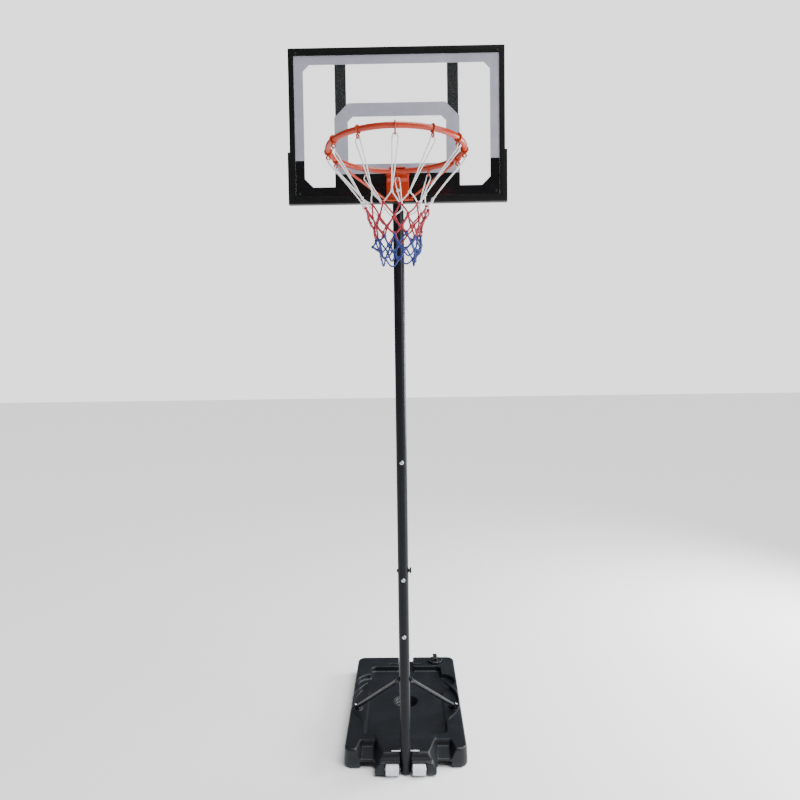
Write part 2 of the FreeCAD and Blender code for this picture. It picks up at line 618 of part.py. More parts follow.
def make_frame():
    opening = "upper_frame_width / 2 - side_band"
    upper, lower = "upper_frame_width / 2", "lower_frame_width / 2"
    frame_rail("frame_top_rail", "board_top - top_band", "board_top", upper, 1)
    frame_rail("frame_bottom_rail", "board_bottom", "board_bottom + bottom_band", lower, -1)
    for name, side in mirrored_sides():
        frame_stile("frame_upper_" + name, side, upper, opening, "frame_step", "board_top - top_band")
        frame_stile("frame_lower_" + name, side, lower, opening, "board_bottom + bottom_band", "frame_step")
    screws = []
    for name, side in mirrored_sides():
        for level, height, across in (("top", "board_top - 22", "372"), ("low", "board_bottom + 37", "366")):
            screw = cone(f"frame_screw_{name}_{level}", 5.5, 3.5, 3,
                         (f"{side} * {across}", f"{PANEL_Y} - print_thick", height))
            screw.Placement.Rotation = Rotation(Vector(1, 0, 0), 90)
            if level == "top":
                bind(screw, **{"Placement.Base.y": f"{PANEL_Y} - frame_lip"})
            screws.append(screw)
    sub_part("frame_screws", group("frame_screw_set", screws))


def make_panel():
    panel_half = "upper_frame_width / 2 - frame_wall"
    panel_low, panel_high = "board_bottom + frame_wall", "board_top - frame_wall"
    sheet_body = pad("board_panel", "XY_Plane",
                     [(f"-({panel_half})", 0), (panel_half, 0), (panel_half, "panel_thick"),
                      (f"-({panel_half})", "panel_thick")],
                     f"({panel_high}) - ({panel_low})", (0, PANEL_Y, panel_low))
    hole = cylinder("panel_hole", 5, 20, (0, f"{PANEL_Y} - 5", "crossbar_low"), "y")
    sub_part("board_panel", cut("panel_drilled", sheet_body, hole))


def print_layer(label, points):
    """Printed layer on the panel's front, drawn as (across, height)."""
    layer = pad(label + "_outer", "XZ_Plane", points, "print_thick", (0, PANEL_Y, 0))
    return layer


def chamfered(half, low, high, chamfer):
    """Outline with its two top corners cut off."""
    return [(f"-({half})", low), (half, low), (half, f"({high}) - ({chamfer})"),
            (f"({half}) - ({chamfer})", high), (f"-({half}) + ({chamfer})", high),
            (f"-({half})", f"({high}) - ({chamfer})")]


def make_prints():
    edge = "upper_frame_width / 2 - side_band"
    outer = print_layer("border", [(f"-({edge})", "black_side_top"), (edge, "black_side_top"),
                                   (edge, "board_top - top_band"), (f"-({edge})", "board_top - top_band")])
    inner = print_layer("border_opening", chamfered("stripe_inner_side", "black_side_top - 10",
                                                    "stripe_inner_top", "stripe_chamfer"))
    sub_part("border_print", cut("border_ring", outer, inner))
    target = print_layer("target", chamfered("target_half", "target_bottom", "target_top", "target_chamfer"))
    window = print_layer("target_window", chamfered("window_half", "window_bottom", "window_top",
                                                    "window_chamfer"))
    sub_part("target_print", cut("target_ring", target, window))
    low = "board_bottom + bottom_band"
    side = "stripe_inner_side"
    right = [(edge, low), (edge, "black_side_top"), (side, "black_side_top"),
             (side, "black_band_top + black_chamfer"), (f"{side} - black_chamfer", "black_band_top"),
             ("target_half", "black_band_top"), ("target_half", "target_bottom")]
    left = [(f"-({across})", height) for across, height in reversed(right)]
    layer = print_layer("lower_black", right + left)
    hole = cylinder("black_hole", 5, 20, (0, f"{PANEL_Y} - 5", "crossbar_low"), "y")
    sub_part("lower_print", cut("lower_black_drilled", layer, hole))


def make_carrier():
    """Square tubes behind the panel, cross straps, and the U-bolts that grip the pole."""
    bar_y = f"{PANEL_Y} + panel_thick"
    bar_low, bar_high = "board_bottom + frame_wall + 1", "board_top - frame_wall - 1"
    for name, side in mirrored_sides():
        x = f"{side} * bar_centre - bar_width / 2"
        solid = box("bar_solid_" + name, ("bar_width", "bar_depth", f"({bar_high}) - ({bar_low})"),
                    (x, bar_y, bar_low))
        hollow = box("bar_hollow_" + name,
                     ("bar_width - 2 * bar_wall", "bar_depth - 2 * bar_wall",
                      f"({bar_high}) - ({bar_low}) + 2"),
                     (f"{x} + bar_wall", f"{bar_y} + bar_wall", f"{bar_low} - 1"))
        sub_part("back_bar_" + name, cut("bar_tube_" + name, solid, hollow))
    strap_y = f"{bar_y} + bar_depth"
    bolts, nuts, saddles = [], [], []
    for level, height in (("lower", "crossbar_low"), ("upper", "crossbar_high")):
        plate = box("strap_plate_" + level, ("2 * bar_centre + bar_width", "crossbar_thick", "crossbar_tall"),
                    ("-bar_centre - bar_width / 2", strap_y, f"{height} - crossbar_tall / 2"))
        legs = [cylinder(f"leg_hole_{level}_{name}", 4, 20,
                         (f"{side} * (pole_outer / 2 + 4.2)", f"{strap_y} - 5", height), "y")
                for name, side in mirrored_sides()]
        tools = legs
        if level == "lower":
            tools = legs + [cylinder("rim_bolt_hole", 5, 20, (0, f"{strap_y} - 5", height), "y")]
        sub_part("cross_strap_" + level, cut("strap_" + level, plate, fuse("strap_holes_" + level, tools)))
        saddles.append(saddle_block(level, height, strap_y))
        bolts.append(u_bolt(level, height))
        for name, side in mirrored_sides():
            nut = prism(f"u_nut_{level}_{name}", 7.5, 6,
                        (f"{side} * (pole_outer / 2 + 4.2)", f"{strap_y} - 6", height), "y")
            hole = cylinder(f"u_nut_hole_{level}_{name}", 4, 20,
                            (f"{side} * (pole_outer / 2 + 4.2)", f"{strap_y} - 10", height), "y")
            nuts.append(cut(f"u_nut_cut_{level}_{name}", nut, hole))
    sub_part("pole_saddles", group("saddle_set", saddles))
    sub_part("u_bolts", group("u_bolt_set", bolts))
    sub_part("u_bolt_nuts", group("u_nut_set", nuts))
    sub_part("strap_rivets", group("rivet_set", strap_rivets(strap_y)))


def saddle_block(level, height, strap_y):
    """Plastic block between a cross strap and the pole, hollowed to the pole's curve."""
    depth = "board_front - panel_thick - bar_depth - crossbar_thick"
    block_shape = box("saddle_block_" + level, (40, depth, "crossbar_tall"),
                      (-20, f"{strap_y} + crossbar_thick", f"{height} - crossbar_tall / 2"))
    pole_hole = cylinder("saddle_hollow_" + level, "pole_outer / 2", 60, (0, "pole_back", f"{height} - 30"))
    saddle = cut("saddle_" + level, block_shape, pole_hole)
    if level == "upper":
        return saddle
    nut_room = cylinder("saddle_nut_room", 11, 14, (0, f"{strap_y}", height), "y")
    return cut("saddle_recessed", saddle, nut_room)


def u_bolt(level, height):
    radius = dim("pole_outer") / 2 + 4.2
    centre = Vector(0, dim("pole_back"), dim("crossbar_low" if level == "lower" else "crossbar_high"))
    bend = Part.makeTorus(radius, 4, centre, Vector(0, 0, 1), 0, 360)
    keep = Part.makeBox(100, 60, 40, centre + Vector(-50, 0, -20))
    reach = dim("board_front") - dim("panel_thick") - dim("bar_depth") + 9
    legs = [Part.makeCylinder(4, reach, centre + Vector(side * radius, 0, 0), Vector(0, -1, 0))
            for side in (-1, 1)]
    return feature("u_bolt_" + level, bend.common(keep).fuse(legs))


def strap_rivets(strap_y):
    rivets = []
    for level, height in (("lower", "crossbar_low"), ("upper", "crossbar_high")):
        for name, side in mirrored_sides():
            rivets.append(cone(f"rivet_{level}_{name}", 7, 5, 3,
                               (f"{side} * bar_centre", f"{strap_y} + crossbar_thick", height)))
            rivets[-1].Placement.Rotation = Rotation(Vector(1, 0, 0), -90)
    return rivets


# ---------------------------------------------------------------- rim
def make_rim():
    face_y = f"{PANEL_Y} - print_thick"
    plate_top = "rim_height + rim_tube / 2 + 3"
    ring = doc.addObject("Part::Torus", "rim_torus")
    bind(ring, Radius1="rim_radius", Radius2="rim_tube / 2")
    place(ring, (0, f"{PANEL_Y} - rim_forward", "rim_height"))
    sub_part("rim_ring", ring)
    face = box("bracket_face", ("bracket_width", "bracket_thick", f"{plate_top} - bracket_low"),
               ("-bracket_width / 2", f"{face_y} - bracket_thick", "bracket_low"))
    lip = box("bracket_lip", ("bracket_width + 32", 14, 3),
              ("-bracket_width / 2 - 16", f"{face_y} - bracket_thick - 12", "bracket_low"))
    front = "rim_forward - rim_radius + 12"
    top = pad("bracket_top", "XY_Plane",
              [("-bracket_width / 2", "-bracket_thick"), ("-plate_front_width / 2", f"-({front})"),
               ("plate_front_width / 2", f"-({front})"), ("bracket_width / 2", "-bracket_thick")],
              3, (0, face_y, "rim_height + rim_tube / 2"))
    solid = fuse("bracket_joined", [face, lip, top])
    rivet_y = f"{face_y} - rim_forward + rim_radius + 22"
    holes = [cylinder("bracket_hole", 5, 20, (0, f"{face_y} - 15", "crossbar_low"), "y"),
             cylinder("rivet_hole", 3, 10, (0, rivet_y, f"{plate_top} - 6"))]
    sub_part("rim_bracket", cut("bracket_drilled", solid, fuse("bracket_holes", holes)))
    head = cylinder("rim_bolt_head", 8.5, 6, (0, f"{face_y} - bracket_thick - 6", "crossbar_low"), "y")
    reach = "board_front + print_thick + bracket_thick - pole_outer / 2 - 12.5"
    shank = cylinder("rim_bolt_shank", 5, reach, (0, f"{face_y} - bracket_thick", "crossbar_low"), "y")
    sub_part("rim_bolt", fuse("rim_bolt_body", [head, shank]))
    nut_y = f"{PANEL_Y} + panel_thick + bar_depth + crossbar_thick"
    nut = prism("rim_nut_hexagon", 9.5, 8, (0, nut_y, "crossbar_low"), "y")
    nut_hole = cylinder("rim_nut_hole", 5, 20, (0, f"{nut_y} - 5", "crossbar_low"), "y")
    sub_part("rim_nut", cut("rim_nut_body", nut, nut_hole))
    rivet = cylinder("plate_rivet_head", 6, 3, (0, rivet_y, plate_top))
    stem = cylinder("plate_rivet_stem", 3, 10, (0, rivet_y, f"{plate_top} - 8"))
    under = cylinder("plate_rivet_under", 6, 3, (0, rivet_y, f"{plate_top} - 6"))
    sub_part("plate_rivet", fuse("plate_rivet_body", [rivet, stem, under]))
    for name, side in mirrored_sides():
        sub_part("brace_rod_" + name, feature("brace_" + name, brace_shape(side)))
    sub_part("net_clips", group("net_clip_set", [net_clip(i) for i in range(int(dim("clip_count")))]))


def brace_shape(side):
    """Round rod from the bracket's lower corner to the underside of the ring."""
    face_y = dim("pole_back") - dim("board_front") - dim("print_thick") - dim("bracket_thick")
    centre_y = dim("pole_back") - dim("board_front") - dim("rim_forward")
    angle = math.radians(dim("brace_angle"))
    radius = dim("brace_dia") / 2
    start = Vector(side * (dim("bracket_width") / 2 + 7), face_y - radius, dim("bracket_low") + 3 + radius)
    end = Vector(side * dim("rim_radius") * math.cos(angle), centre_y + dim("rim_radius") * math.sin(angle),
                 dim("rim_height") - dim("rim_tube") / 2 - radius + 0.6)
    line = end - start
    rod = Part.makeCylinder(radius, line.Length, start, line)
    ends = [Part.makeSphere(radius, point) for point in (start, end)]
    ring = Part.makeTorus(dim("rim_radius"), dim("rim_tube") / 2, Vector(0, centre_y, dim("rim_height")))
    below = block((-300, 300), (-1000, 0), (0, dim("bracket_low") + 3))
    return rod.fuse(ends).cut([ring, below])


def net_clip(index):
    """Wire loop round the ring with an eye below it; under the top plate only the eye fits.
    The clips next to the braces stand a little further forward."""
    wire = dim("clip_wire") / 2
    tube = dim("rim_tube") / 2
    beside_brace = {2: dim("clip_shift"), 10: -dim("clip_shift")}
    angle = math.radians(90 + 360 / dim("clip_count") * index + beside_brace.get(index, 0))
    centre_y = dim("pole_back") - dim("board_front") - dim("rim_forward")
    outward = Vector(math.cos(angle), math.sin(angle), 0)
    along = Vector(-math.sin(angle), math.cos(angle), 0)
    centre = Vector(0, centre_y, dim("rim_height")) + outward * dim("rim_radius")
    band = Part.makeTorus(tube + wire + 0.05, wire, centre, along)
    eye = Part.makeTorus(6, wire, centre - Vector(0, 0, tube + 11), along)
    under_plate = index == 0
    return feature(f"net_clip_{index}", eye if under_plate else band.fuse(eye))


def make_net():
    """Three funnel lengths that hold the room of the knotted cords."""
    centre = "pole_back - board_front - rim_forward"
    lengths = [("net_white", "rim_height - 21", "net_top_radius", "net_white_low + 0.5", "net_white_radius"),
               ("net_red", "net_white_low", "net_white_radius", "net_red_low + 0.5", "net_red_radius"),
               ("net_blue", "net_red_low", "net_red_radius", "net_blue_low", "net_blue_radius")]
    for label, high, high_radius, low, low_radius in lengths:
        outside = cone(label + "_outside", low_radius, high_radius, f"{high} - ({low})", (0, centre, low))
        inside = cone(label + "_inside", f"{low_radius} - net_shell", f"{high_radius} - net_shell",
                      f"{high} - ({low})", (0, centre, low))
        sub_part(label, cut(label + "_funnel", outside, inside))


# ---------------------------------------------------------------- build and export
make_base()
make_filler_cap()
make_rollers()
make_struts()
make_pole()
make_frame()
make_panel()
make_prints()
make_carrier()
make_rim()
make_net()
doc.recompute()

for item in doc.Objects:
    if {"Invalid", "Error"} & set(item.State):
        raise RuntimeError(f"{item.Name} did not compute: {item.State}")
for item in SUB_PARTS:
    if item.Shape.isNull() or not item.Shape.isValid():
        raise RuntimeError(f"{item.Label} has no valid shape")
for item in SUB_PARTS:
    item.Shape.exportStep(f"parts/{item.Label}.step")
    box_size = item.Shape.BoundBox
    print(f"{item.Label}: {len(item.Shape.Solids)} solids, {item.Shape.Volume / 1000:.1f} cm3,",
          f"x {box_size.XMin:.1f}..{box_size.XMax:.1f}, y {box_size.YMin:.1f}..{box_size.YMax:.1f},",
          f"z {box_size.ZMin:.1f}..{box_size.ZMax:.1f}")
print(len(SUB_PARTS), "sub-parts")
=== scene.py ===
import bpy
import bmesh
import math
import random
import numpy as np
from mathutils import Matrix, Vector


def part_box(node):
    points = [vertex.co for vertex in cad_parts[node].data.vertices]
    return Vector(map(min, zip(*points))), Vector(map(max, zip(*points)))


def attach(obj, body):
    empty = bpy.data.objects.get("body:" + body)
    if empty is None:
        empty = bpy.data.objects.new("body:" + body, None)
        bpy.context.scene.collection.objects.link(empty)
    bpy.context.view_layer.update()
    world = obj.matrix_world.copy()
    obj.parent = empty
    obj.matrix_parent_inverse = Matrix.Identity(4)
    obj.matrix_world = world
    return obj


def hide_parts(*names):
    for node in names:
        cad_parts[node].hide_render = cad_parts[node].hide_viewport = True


# Portable basketball hoop. The CAD parts are the frame; this file adds the moulded skins,
# the knotted net and every finish. Metres, +X right, +Y to the back of the base.
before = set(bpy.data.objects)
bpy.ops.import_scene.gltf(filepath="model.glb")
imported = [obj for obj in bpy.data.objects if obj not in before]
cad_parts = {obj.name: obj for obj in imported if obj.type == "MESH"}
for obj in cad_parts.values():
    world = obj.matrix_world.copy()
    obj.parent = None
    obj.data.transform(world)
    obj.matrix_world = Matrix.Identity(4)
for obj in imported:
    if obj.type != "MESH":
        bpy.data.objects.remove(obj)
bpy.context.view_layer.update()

MM = 0.001
dice = random.Random(7)


def middle(node):
    """Centre of a CAD node's box."""
    low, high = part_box(node)
    return (low + high) / 2


pole_axis = middle("top_pole")
ring_low, ring_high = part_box("rim_ring")
ring_centre = (ring_low + ring_high) / 2
ring_tube = (ring_high.z - ring_low.z) / 2
ring_radius = (ring_high.x - ring_low.x) / 2 - ring_tube


# ------------------------------------------------------------------ camera and room
def aim(position, yaw, pitch, roll):
    """Turn of a camera that looks along +Y, then is yawed, pitched down and rolled."""
    across = Vector((math.cos(yaw), -math.sin(yaw), 0))
    ahead = Vector((math.sin(yaw), math.cos(yaw), 0))
    up = ahead * math.sin(pitch) + Vector((0, 0, math.cos(pitch)))
    right = across * math.cos(roll) + up * math.sin(roll)
    top = up * math.cos(roll) - across * math.sin(roll)
    turn = Matrix((right, top, right.cross(top))).transposed().to_4x4()
    return Matrix.Translation(position) @ turn


def make_camera():
    """Camera at standing eye height, in front of the hoop."""
    data = bpy.data.cameras.new("camera")
    data.sensor_width = 36
    data.lens = 28.8
    data.clip_start = 0.05
    camera = bpy.data.objects.new("camera", data)
    bpy.context.scene.collection.objects.link(camera)
    eye_right, eye_ahead, eye_height = 0.025, 2.493, 1.639
    yaw, pitch, roll = -0.0113, 0.0534, -0.0137
    eye = Vector((eye_right, pole_axis.y - eye_ahead, eye_height))
    camera.matrix_world = aim(eye, yaw, pitch, roll)
    bpy.context.scene.camera = camera


def area_light(name, place, target, size, power):
    data = bpy.data.lights.new(name, "AREA")
    data.shape = "RECTANGLE"
    data.size, data.size_y = size
    data.energy = power
    lamp = bpy.data.objects.new(name, data)
    lamp.location = place
    lamp.rotation_euler = (Vector(target) - Vector(place)).to_track_quat("-Z", "Y").to_euler()
    bpy.context.scene.collection.objects.link(lamp)


# ------------------------------------------------------------------ materials
def linear(code):
    """sRGB hex code to a linear colour."""
    parts = [int(code[i:i + 2], 16) / 255 for i in (1, 3, 5)]
    return [c / 12.92 if c < 0.04045 else ((c + 0.055) / 1.055) ** 2.4 for c in parts] + [1]


def add(tree, kind, settings=None, links=None):
    """Adds one node with its settings and links; a list of stops shapes a colour ramp."""
    made = tree.nodes.new(kind)
    for name, value in (settings or {}).items():
        if name == "stops":
            band = made.color_ramp
            for position, colour in value[2:]:
                band.elements.new(position)
            for element, (position, colour) in zip(band.elements, sorted(value)):
                element.position = position
                element.color = colour
        elif isinstance(name, str) and hasattr(made, name):
            setattr(made, name, value)
        else:
            made.inputs[name].default_value = value
    for name, socket in (links or {}).items():
        tree.links.new(socket, made.inputs[name])
    return made.outputs


def new_finish(name, settings, links_from):
    """Material whose shader takes the sockets that links_from makes on its tree."""
    material = bpy.data.materials.new(name)
    material.use_nodes = True
    tree = material.node_tree
    shader = tree.nodes["Principled BSDF"]
    for socket, value in settings.items():
        shader.inputs[socket].default_value = value
    place = add(tree, "ShaderNodeTexCoord")
    for socket, source in links_from(tree, place).items():
        tree.links.new(source, shader.inputs[socket])
    return material


def blow_moulded_hdpe():
    """Blow-moulded HDPE: leathery grain, wavy soft sheen, chalky scuffs and dust near the floor."""
    def links(tree, place):
        spot = {"Vector": place["Object"]}
        sag = add(tree, "ShaderNodeTexNoise", {"Scale": 1 / (90 * MM), "Detail": 2}, spot)
        grain = add(tree, "ShaderNodeTexNoise", {"Scale": 1 / (1.4 * MM), "Detail": 3}, spot)
        hide = add(tree, "ShaderNodeTexVoronoi", {"Scale": 1 / (2.2 * MM)}, spot)
        scuff = add(tree, "ShaderNodeTexNoise", {"Scale": 1 / (11 * MM), "Detail": 6, "Roughness": 0.72}, spot)
        height = add(tree, "ShaderNodeSeparateXYZ", None, spot)
        tone = add(tree, "ShaderNodeValToRGB", {"stops": [(0.3, linear("#0F1317")), (0.7, linear("#171B20"))]},
                   {"Fac": sag["Fac"]})
        worn = add(tree, "ShaderNodeMapRange", {"From Min": 0.6, "From Max": 0.8, "To Max": 0.16},
                   {"Value": scuff["Fac"]})
        low = add(tree, "ShaderNodeMapRange", {"From Min": 0.03, "From Max": 0.0, "To Max": 0.2},
                  {"Value": height["Z"]})
        chalk = add(tree, "ShaderNodeMath", {"operation": "ADD"}, {0: worn["Result"], 1: low["Result"]})
        colour = add(tree, "ShaderNodeMix", {"data_type": "RGBA", 7: linear("#4A525A")},
                     {0: chalk["Value"], 6: tone["Color"]})
        gloss = add(tree, "ShaderNodeMapRange",
                    {"From Min": 0.3, "From Max": 0.7, "To Min": 0.33, "To Max": 0.5},
                    {"Value": scuff["Fac"]})
        wave = add(tree, "ShaderNodeBump", {"Distance": 1.2 * MM, "Strength": 0.3}, {"Height": sag["Fac"]})
        skin_bump = add(tree, "ShaderNodeBump", {"Distance": 0.12 * MM, "Strength": 0.35},
                        {"Height": hide["Distance"], "Normal": wave["Normal"]})
        fine = add(tree, "ShaderNodeBump", {"Distance": 0.08 * MM, "Strength": 0.4},
                   {"Height": grain["Fac"], "Normal": skin_bump["Normal"]})
        return {"Base Color": colour[2], "Roughness": gloss["Result"], "Normal": fine["Normal"]}
    return new_finish("blow_moulded_hdpe", {"IOR": 1.52, "Specular IOR Level": 0.28}, links)


def powder_coat(name, dark, light, gloss, peel_mm=1.2, rub_tone="#6A6D72", rub=0.12, level=0.5):
    """Baked powder paint on steel: fine orange peel, patches rubbed shinier, a few pale rub marks."""
    def links(tree, place):
        spot = {"Vector": place["Object"]}
        cloud = add(tree, "ShaderNodeTexNoise", {"Scale": 1 / (70 * MM), "Detail": 3}, spot)
        peel = add(tree, "ShaderNodeTexNoise", {"Scale": 1 / (peel_mm * MM), "Detail": 2}, spot)
        patch = add(tree, "ShaderNodeTexNoise", {"Scale": 1 / (16 * MM), "Detail": 5, "Roughness": 0.7}, spot)
        tone = add(tree, "ShaderNodeValToRGB", {"stops": [(0.3, linear(dark)), (0.7, linear(light))]},
                   {"Fac": cloud["Fac"]})
        mark = add(tree, "ShaderNodeMapRange", {"From Min": 0.66, "From Max": 0.8, "To Max": rub},
                   {"Value": patch["Fac"]})
        colour = add(tree, "ShaderNodeMix", {"data_type": "RGBA", 7: linear(rub_tone)},
                     {0: mark["Result"], 6: tone["Color"]})
        sheen = add(tree, "ShaderNodeMapRange",
                    {"From Min": 0.3, "From Max": 0.7, "To Min": gloss, "To Max": gloss + 0.13},
                    {"Value": patch["Fac"]})
        bumps = add(tree, "ShaderNodeBump", {"Distance": 0.05 * MM, "Strength": 0.4}, {"Height": peel["Fac"]})
        return {"Base Color": colour[2], "Roughness": sheen["Result"], "Normal": bumps["Normal"]}
    settings = {"IOR": 1.5, "Specular IOR Level": level, "Coat Weight": 0.2 * level, "Coat Roughness": 0.2}
    return new_finish(name, settings, links)


def moulded_plastic(name, dark, light, roughness, grain_mm=0.9, depth_mm=0.06, level=0.5):
    """Injection-moulded plastic: spark-eroded grain, slight flow clouds and handling polish."""
    def links(tree, place):
        spot = {"Vector": place["Object"]}
        cloud = add(tree, "ShaderNodeTexNoise", {"Scale": 1 / (45 * MM), "Detail": 3}, spot)
        grain = add(tree, "ShaderNodeTexNoise", {"Scale": 1 / (grain_mm * MM), "Detail": 3}, spot)
        touch = add(tree, "ShaderNodeTexNoise", {"Scale": 1 / (13 * MM), "Detail": 5, "Roughness": 0.65}, spot)
        tone = add(tree, "ShaderNodeValToRGB", {"stops": [(0.3, linear(dark)), (0.7, linear(light))]},
                   {"Fac": cloud["Fac"]})
        gloss = add(tree, "ShaderNodeMapRange",
                    {"From Min": 0.3, "From Max": 0.7, "To Min": roughness, "To Max": roughness + 0.12},
                    {"Value": touch["Fac"]})
        bumps = add(tree, "ShaderNodeBump", {"Distance": depth_mm * MM, "Strength": 0.4},
                    {"Height": grain["Fac"]})
        return {"Base Color": tone["Color"], "Roughness": gloss["Result"], "Normal": bumps["Normal"]}
    return new_finish(name, {"Specular IOR Level": level, "IOR": 1.5}, links)


def zinc_plate():
    """Bright zinc on steel: a clean grey metal with small crystals and duller patches."""
    def links(tree, place):
        spot = {"Vector": place["Object"]}
        patch = add(tree, "ShaderNodeTexNoise", {"Scale": 1 / (5 * MM), "Detail": 4, "Roughness": 0.6}, spot)
        crystal = add(tree, "ShaderNodeTexVoronoi", {"Scale": 1 / (1.1 * MM)}, spot)
        tone = add(tree, "ShaderNodeValToRGB", {"stops": [(0.3, linear("#B4B8BC")), (0.7, linear("#DEE1E4"))]},
                   {"Fac": patch["Fac"]})
        gloss = add(tree, "ShaderNodeMapRange",
                    {"From Min": 0.3, "From Max": 0.7, "To Min": 0.24, "To Max": 0.42},
                    {"Value": patch["Fac"]})
        bumps = add(tree, "ShaderNodeBump", {"Distance": 0.02 * MM, "Strength": 0.3},
                    {"Height": crystal["Distance"]})
        return {"Base Color": tone["Color"], "Roughness": gloss["Result"], "Normal": bumps["Normal"]}
    return new_finish("zinc_plate", {"Metallic": 1.0}, links)


def clear_polycarbonate():
    """Clear polycarbonate sheet: almost unseen face on, a glossy film of haze and a slight ripple."""
    def links(tree, place):
        spot = {"Vector": place["Object"]}
        haze = add(tree, "ShaderNodeTexNoise", {"Scale": 1 / (38 * MM), "Detail": 4, "Roughness": 0.6}, spot)
        ripple = add(tree, "ShaderNodeTexNoise", {"Scale": 1 / (140 * MM), "Detail": 1}, spot)
        tone = add(tree, "ShaderNodeValToRGB", {"stops": [(0.3, linear("#C9D2D6")), (0.7, linear("#DFE6E9"))]},
                   {"Fac": haze["Fac"]})
        gloss = add(tree, "ShaderNodeMapRange",
                    {"From Min": 0.3, "From Max": 0.7, "To Min": 0.04, "To Max": 0.11}, {"Value": haze["Fac"]})
        bumps = add(tree, "ShaderNodeBump", {"Distance": 0.3 * MM, "Strength": 0.08},
                    {"Height": ripple["Fac"]})
        return {"Base Color": tone["Color"], "Roughness": gloss["Result"], "Normal": bumps["Normal"]}
    return new_finish("clear_polycarbonate", {"IOR": 1.58, "Alpha": 0.03}, links)


def screen_print(name, dark, light, roughness):
    """Screen-printed ink: an even film with a mesh pattern and slight mottling."""
    def links(tree, place):
        spot = {"Vector": place["Object"]}
        mottle = add(tree, "ShaderNodeTexNoise", {"Scale": 1 / (28 * MM), "Detail": 5, "Roughness": 0.6}, spot)
        mesh = add(tree, "ShaderNodeTexVoronoi", {"Scale": 1 / (0.8 * MM)}, spot)
        tone = add(tree, "ShaderNodeValToRGB", {"stops": [(0.3, linear(dark)), (0.7, linear(light))]},
                   {"Fac": mottle["Fac"]})
        gloss = add(tree, "ShaderNodeMapRange",
                    {"From Min": 0.3, "From Max": 0.7, "To Min": roughness, "To Max": roughness + 0.09},
                    {"Value": mottle["Fac"]})
        bumps = add(tree, "ShaderNodeBump", {"Distance": 0.015 * MM, "Strength": 0.25},
                    {"Height": mesh["Distance"]})
        return {"Base Color": tone["Color"], "Roughness": gloss["Result"], "Normal": bumps["Normal"]}
    return new_finish(name, {"IOR": 1.48}, links)


def braided_cord(name, dark, light):
    """Braided polyester: strands cross each other along the cord, with a soft fuzz and painted shade in the
    grooves between strands; UV in cord widths.
    """
    def links(tree, place):
        strands = []
        for lean in (1, -1):
            turned = add(tree, "ShaderNodeMapping", {"Rotation": (0, 0, lean * math.radians(45))},
                         {"Vector": place["UV"]})
            strands.append(add(tree, "ShaderNodeTexWave", {"Scale": 0.45, "Distortion": 0.5, "Detail": 1},
                               {"Vector": turned["Vector"]}))
        weave = add(tree, "ShaderNodeMath", {"operation": "MAXIMUM"},
                    {0: strands[0]["Fac"], 1: strands[1]["Fac"]})
        fuzz = add(tree, "ShaderNodeTexNoise", {"Scale": 1 / (1.2 * MM), "Detail": 4, "Roughness": 0.7},
                   {"Vector": place["Object"]})
        soil = add(tree, "ShaderNodeTexNoise", {"Scale": 1 / (40 * MM), "Detail": 3},
                   {"Vector": place["Object"]})
        # Painted shade: the dark tone fills the grooves between strands, and the light tone is the strands'
        # own colour.
        tone = add(tree, "ShaderNodeValToRGB", {"stops": [(0.2, linear(dark)), (0.75, linear(light))]},
                   {"Fac": weave["Value"]})
        grey = add(tree, "ShaderNodeMapRange", {"From Min": 0.4, "From Max": 0.8, "To Max": 0.25},
                   {"Value": soil["Fac"]})
        colour = add(tree, "ShaderNodeMix", {"data_type": "RGBA", 7: linear(dark)},
                     {0: grey["Result"], 6: tone["Color"]})
        woven = add(tree, "ShaderNodeBump", {"Distance": 0.6 * MM, "Strength": 0.8},
                    {"Height": weave["Value"]})
        soft = add(tree, "ShaderNodeBump", {"Distance": 0.2 * MM, "Strength": 0.5},
                   {"Height": fuzz["Fac"], "Normal": woven["Normal"]})
        return {"Base Color": colour[2], "Normal": soft["Normal"]}
    settings = {"Roughness": 0.75, "IOR": 1.46, "Sheen Weight": 0.3, "Sheen Roughness": 0.5}
    return new_finish(name, settings, links)


def studio_paper():
    """Matt backdrop paper with a faint tooth."""
    def links(tree, place):
        spot = {"Vector": place["Object"]}
        tooth = add(tree, "ShaderNodeTexNoise", {"Scale": 1 / (3 * MM), "Detail": 3}, spot)
        tone = add(tree, "ShaderNodeValToRGB", {"stops": [(0.3, linear("#F4F4F4")), (0.7, linear("#F8F8F8"))]},
                   {"Fac": tooth["Fac"]})
        bumps = add(tree, "ShaderNodeBump", {"Distance": 0.05 * MM, "Strength": 0.1}, {"Height": tooth["Fac"]})
        return {"Base Color": tone["Color"], "Normal": bumps["Normal"]}
    return new_finish("studio_paper", {"Roughness": 0.95}, links)


# ------------------------------------------------------------------ mesh helpers
def piece(name, vertices, faces, material, body, smooth=True, cad=()):
    """Mesh object that rides on a body and takes the place of CAD nodes."""
    mesh = bpy.data.meshes.new(name)
    mesh.from_pydata([tuple(v) for v in vertices], [], [tuple(f) for f in faces])
    mesh.validate()
    made = bpy.data.objects.new(name, mesh)
    bpy.context.scene.collection.objects.link(made)
    mesh.materials.append(material)
    for polygon in mesh.polygons:
        polygon.use_smooth = smooth
    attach(made, body)
    if cad:
        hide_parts(*cad)
    return made


def apply_modifiers(made):
    """Keeps the modifiers' result as the mesh itself."""
    graph = bpy.context.evaluated_depsgraph_get()
    solid = bpy.data.meshes.new_from_object(made.evaluated_get(graph))
    made.modifiers.clear()
    made.data = solid


def from_bmesh(name, form, material, body, smooth=True, cad=()):
    bmesh.ops.recalc_face_normals(form, faces=form.faces)
    made = piece(name, [], [], material, body, smooth, cad)
    form.to_mesh(made.data)
    form.free()
    for polygon in made.data.polygons:
        polygon.use_smooth = smooth
    return made


# ------------------------------------------------------------------ blended solids
def soft_min(a, b, blend):
    part = np.maximum(blend - np.abs(a - b), 0) / blend
    return np.minimum(a, b) - part * part * blend / 4


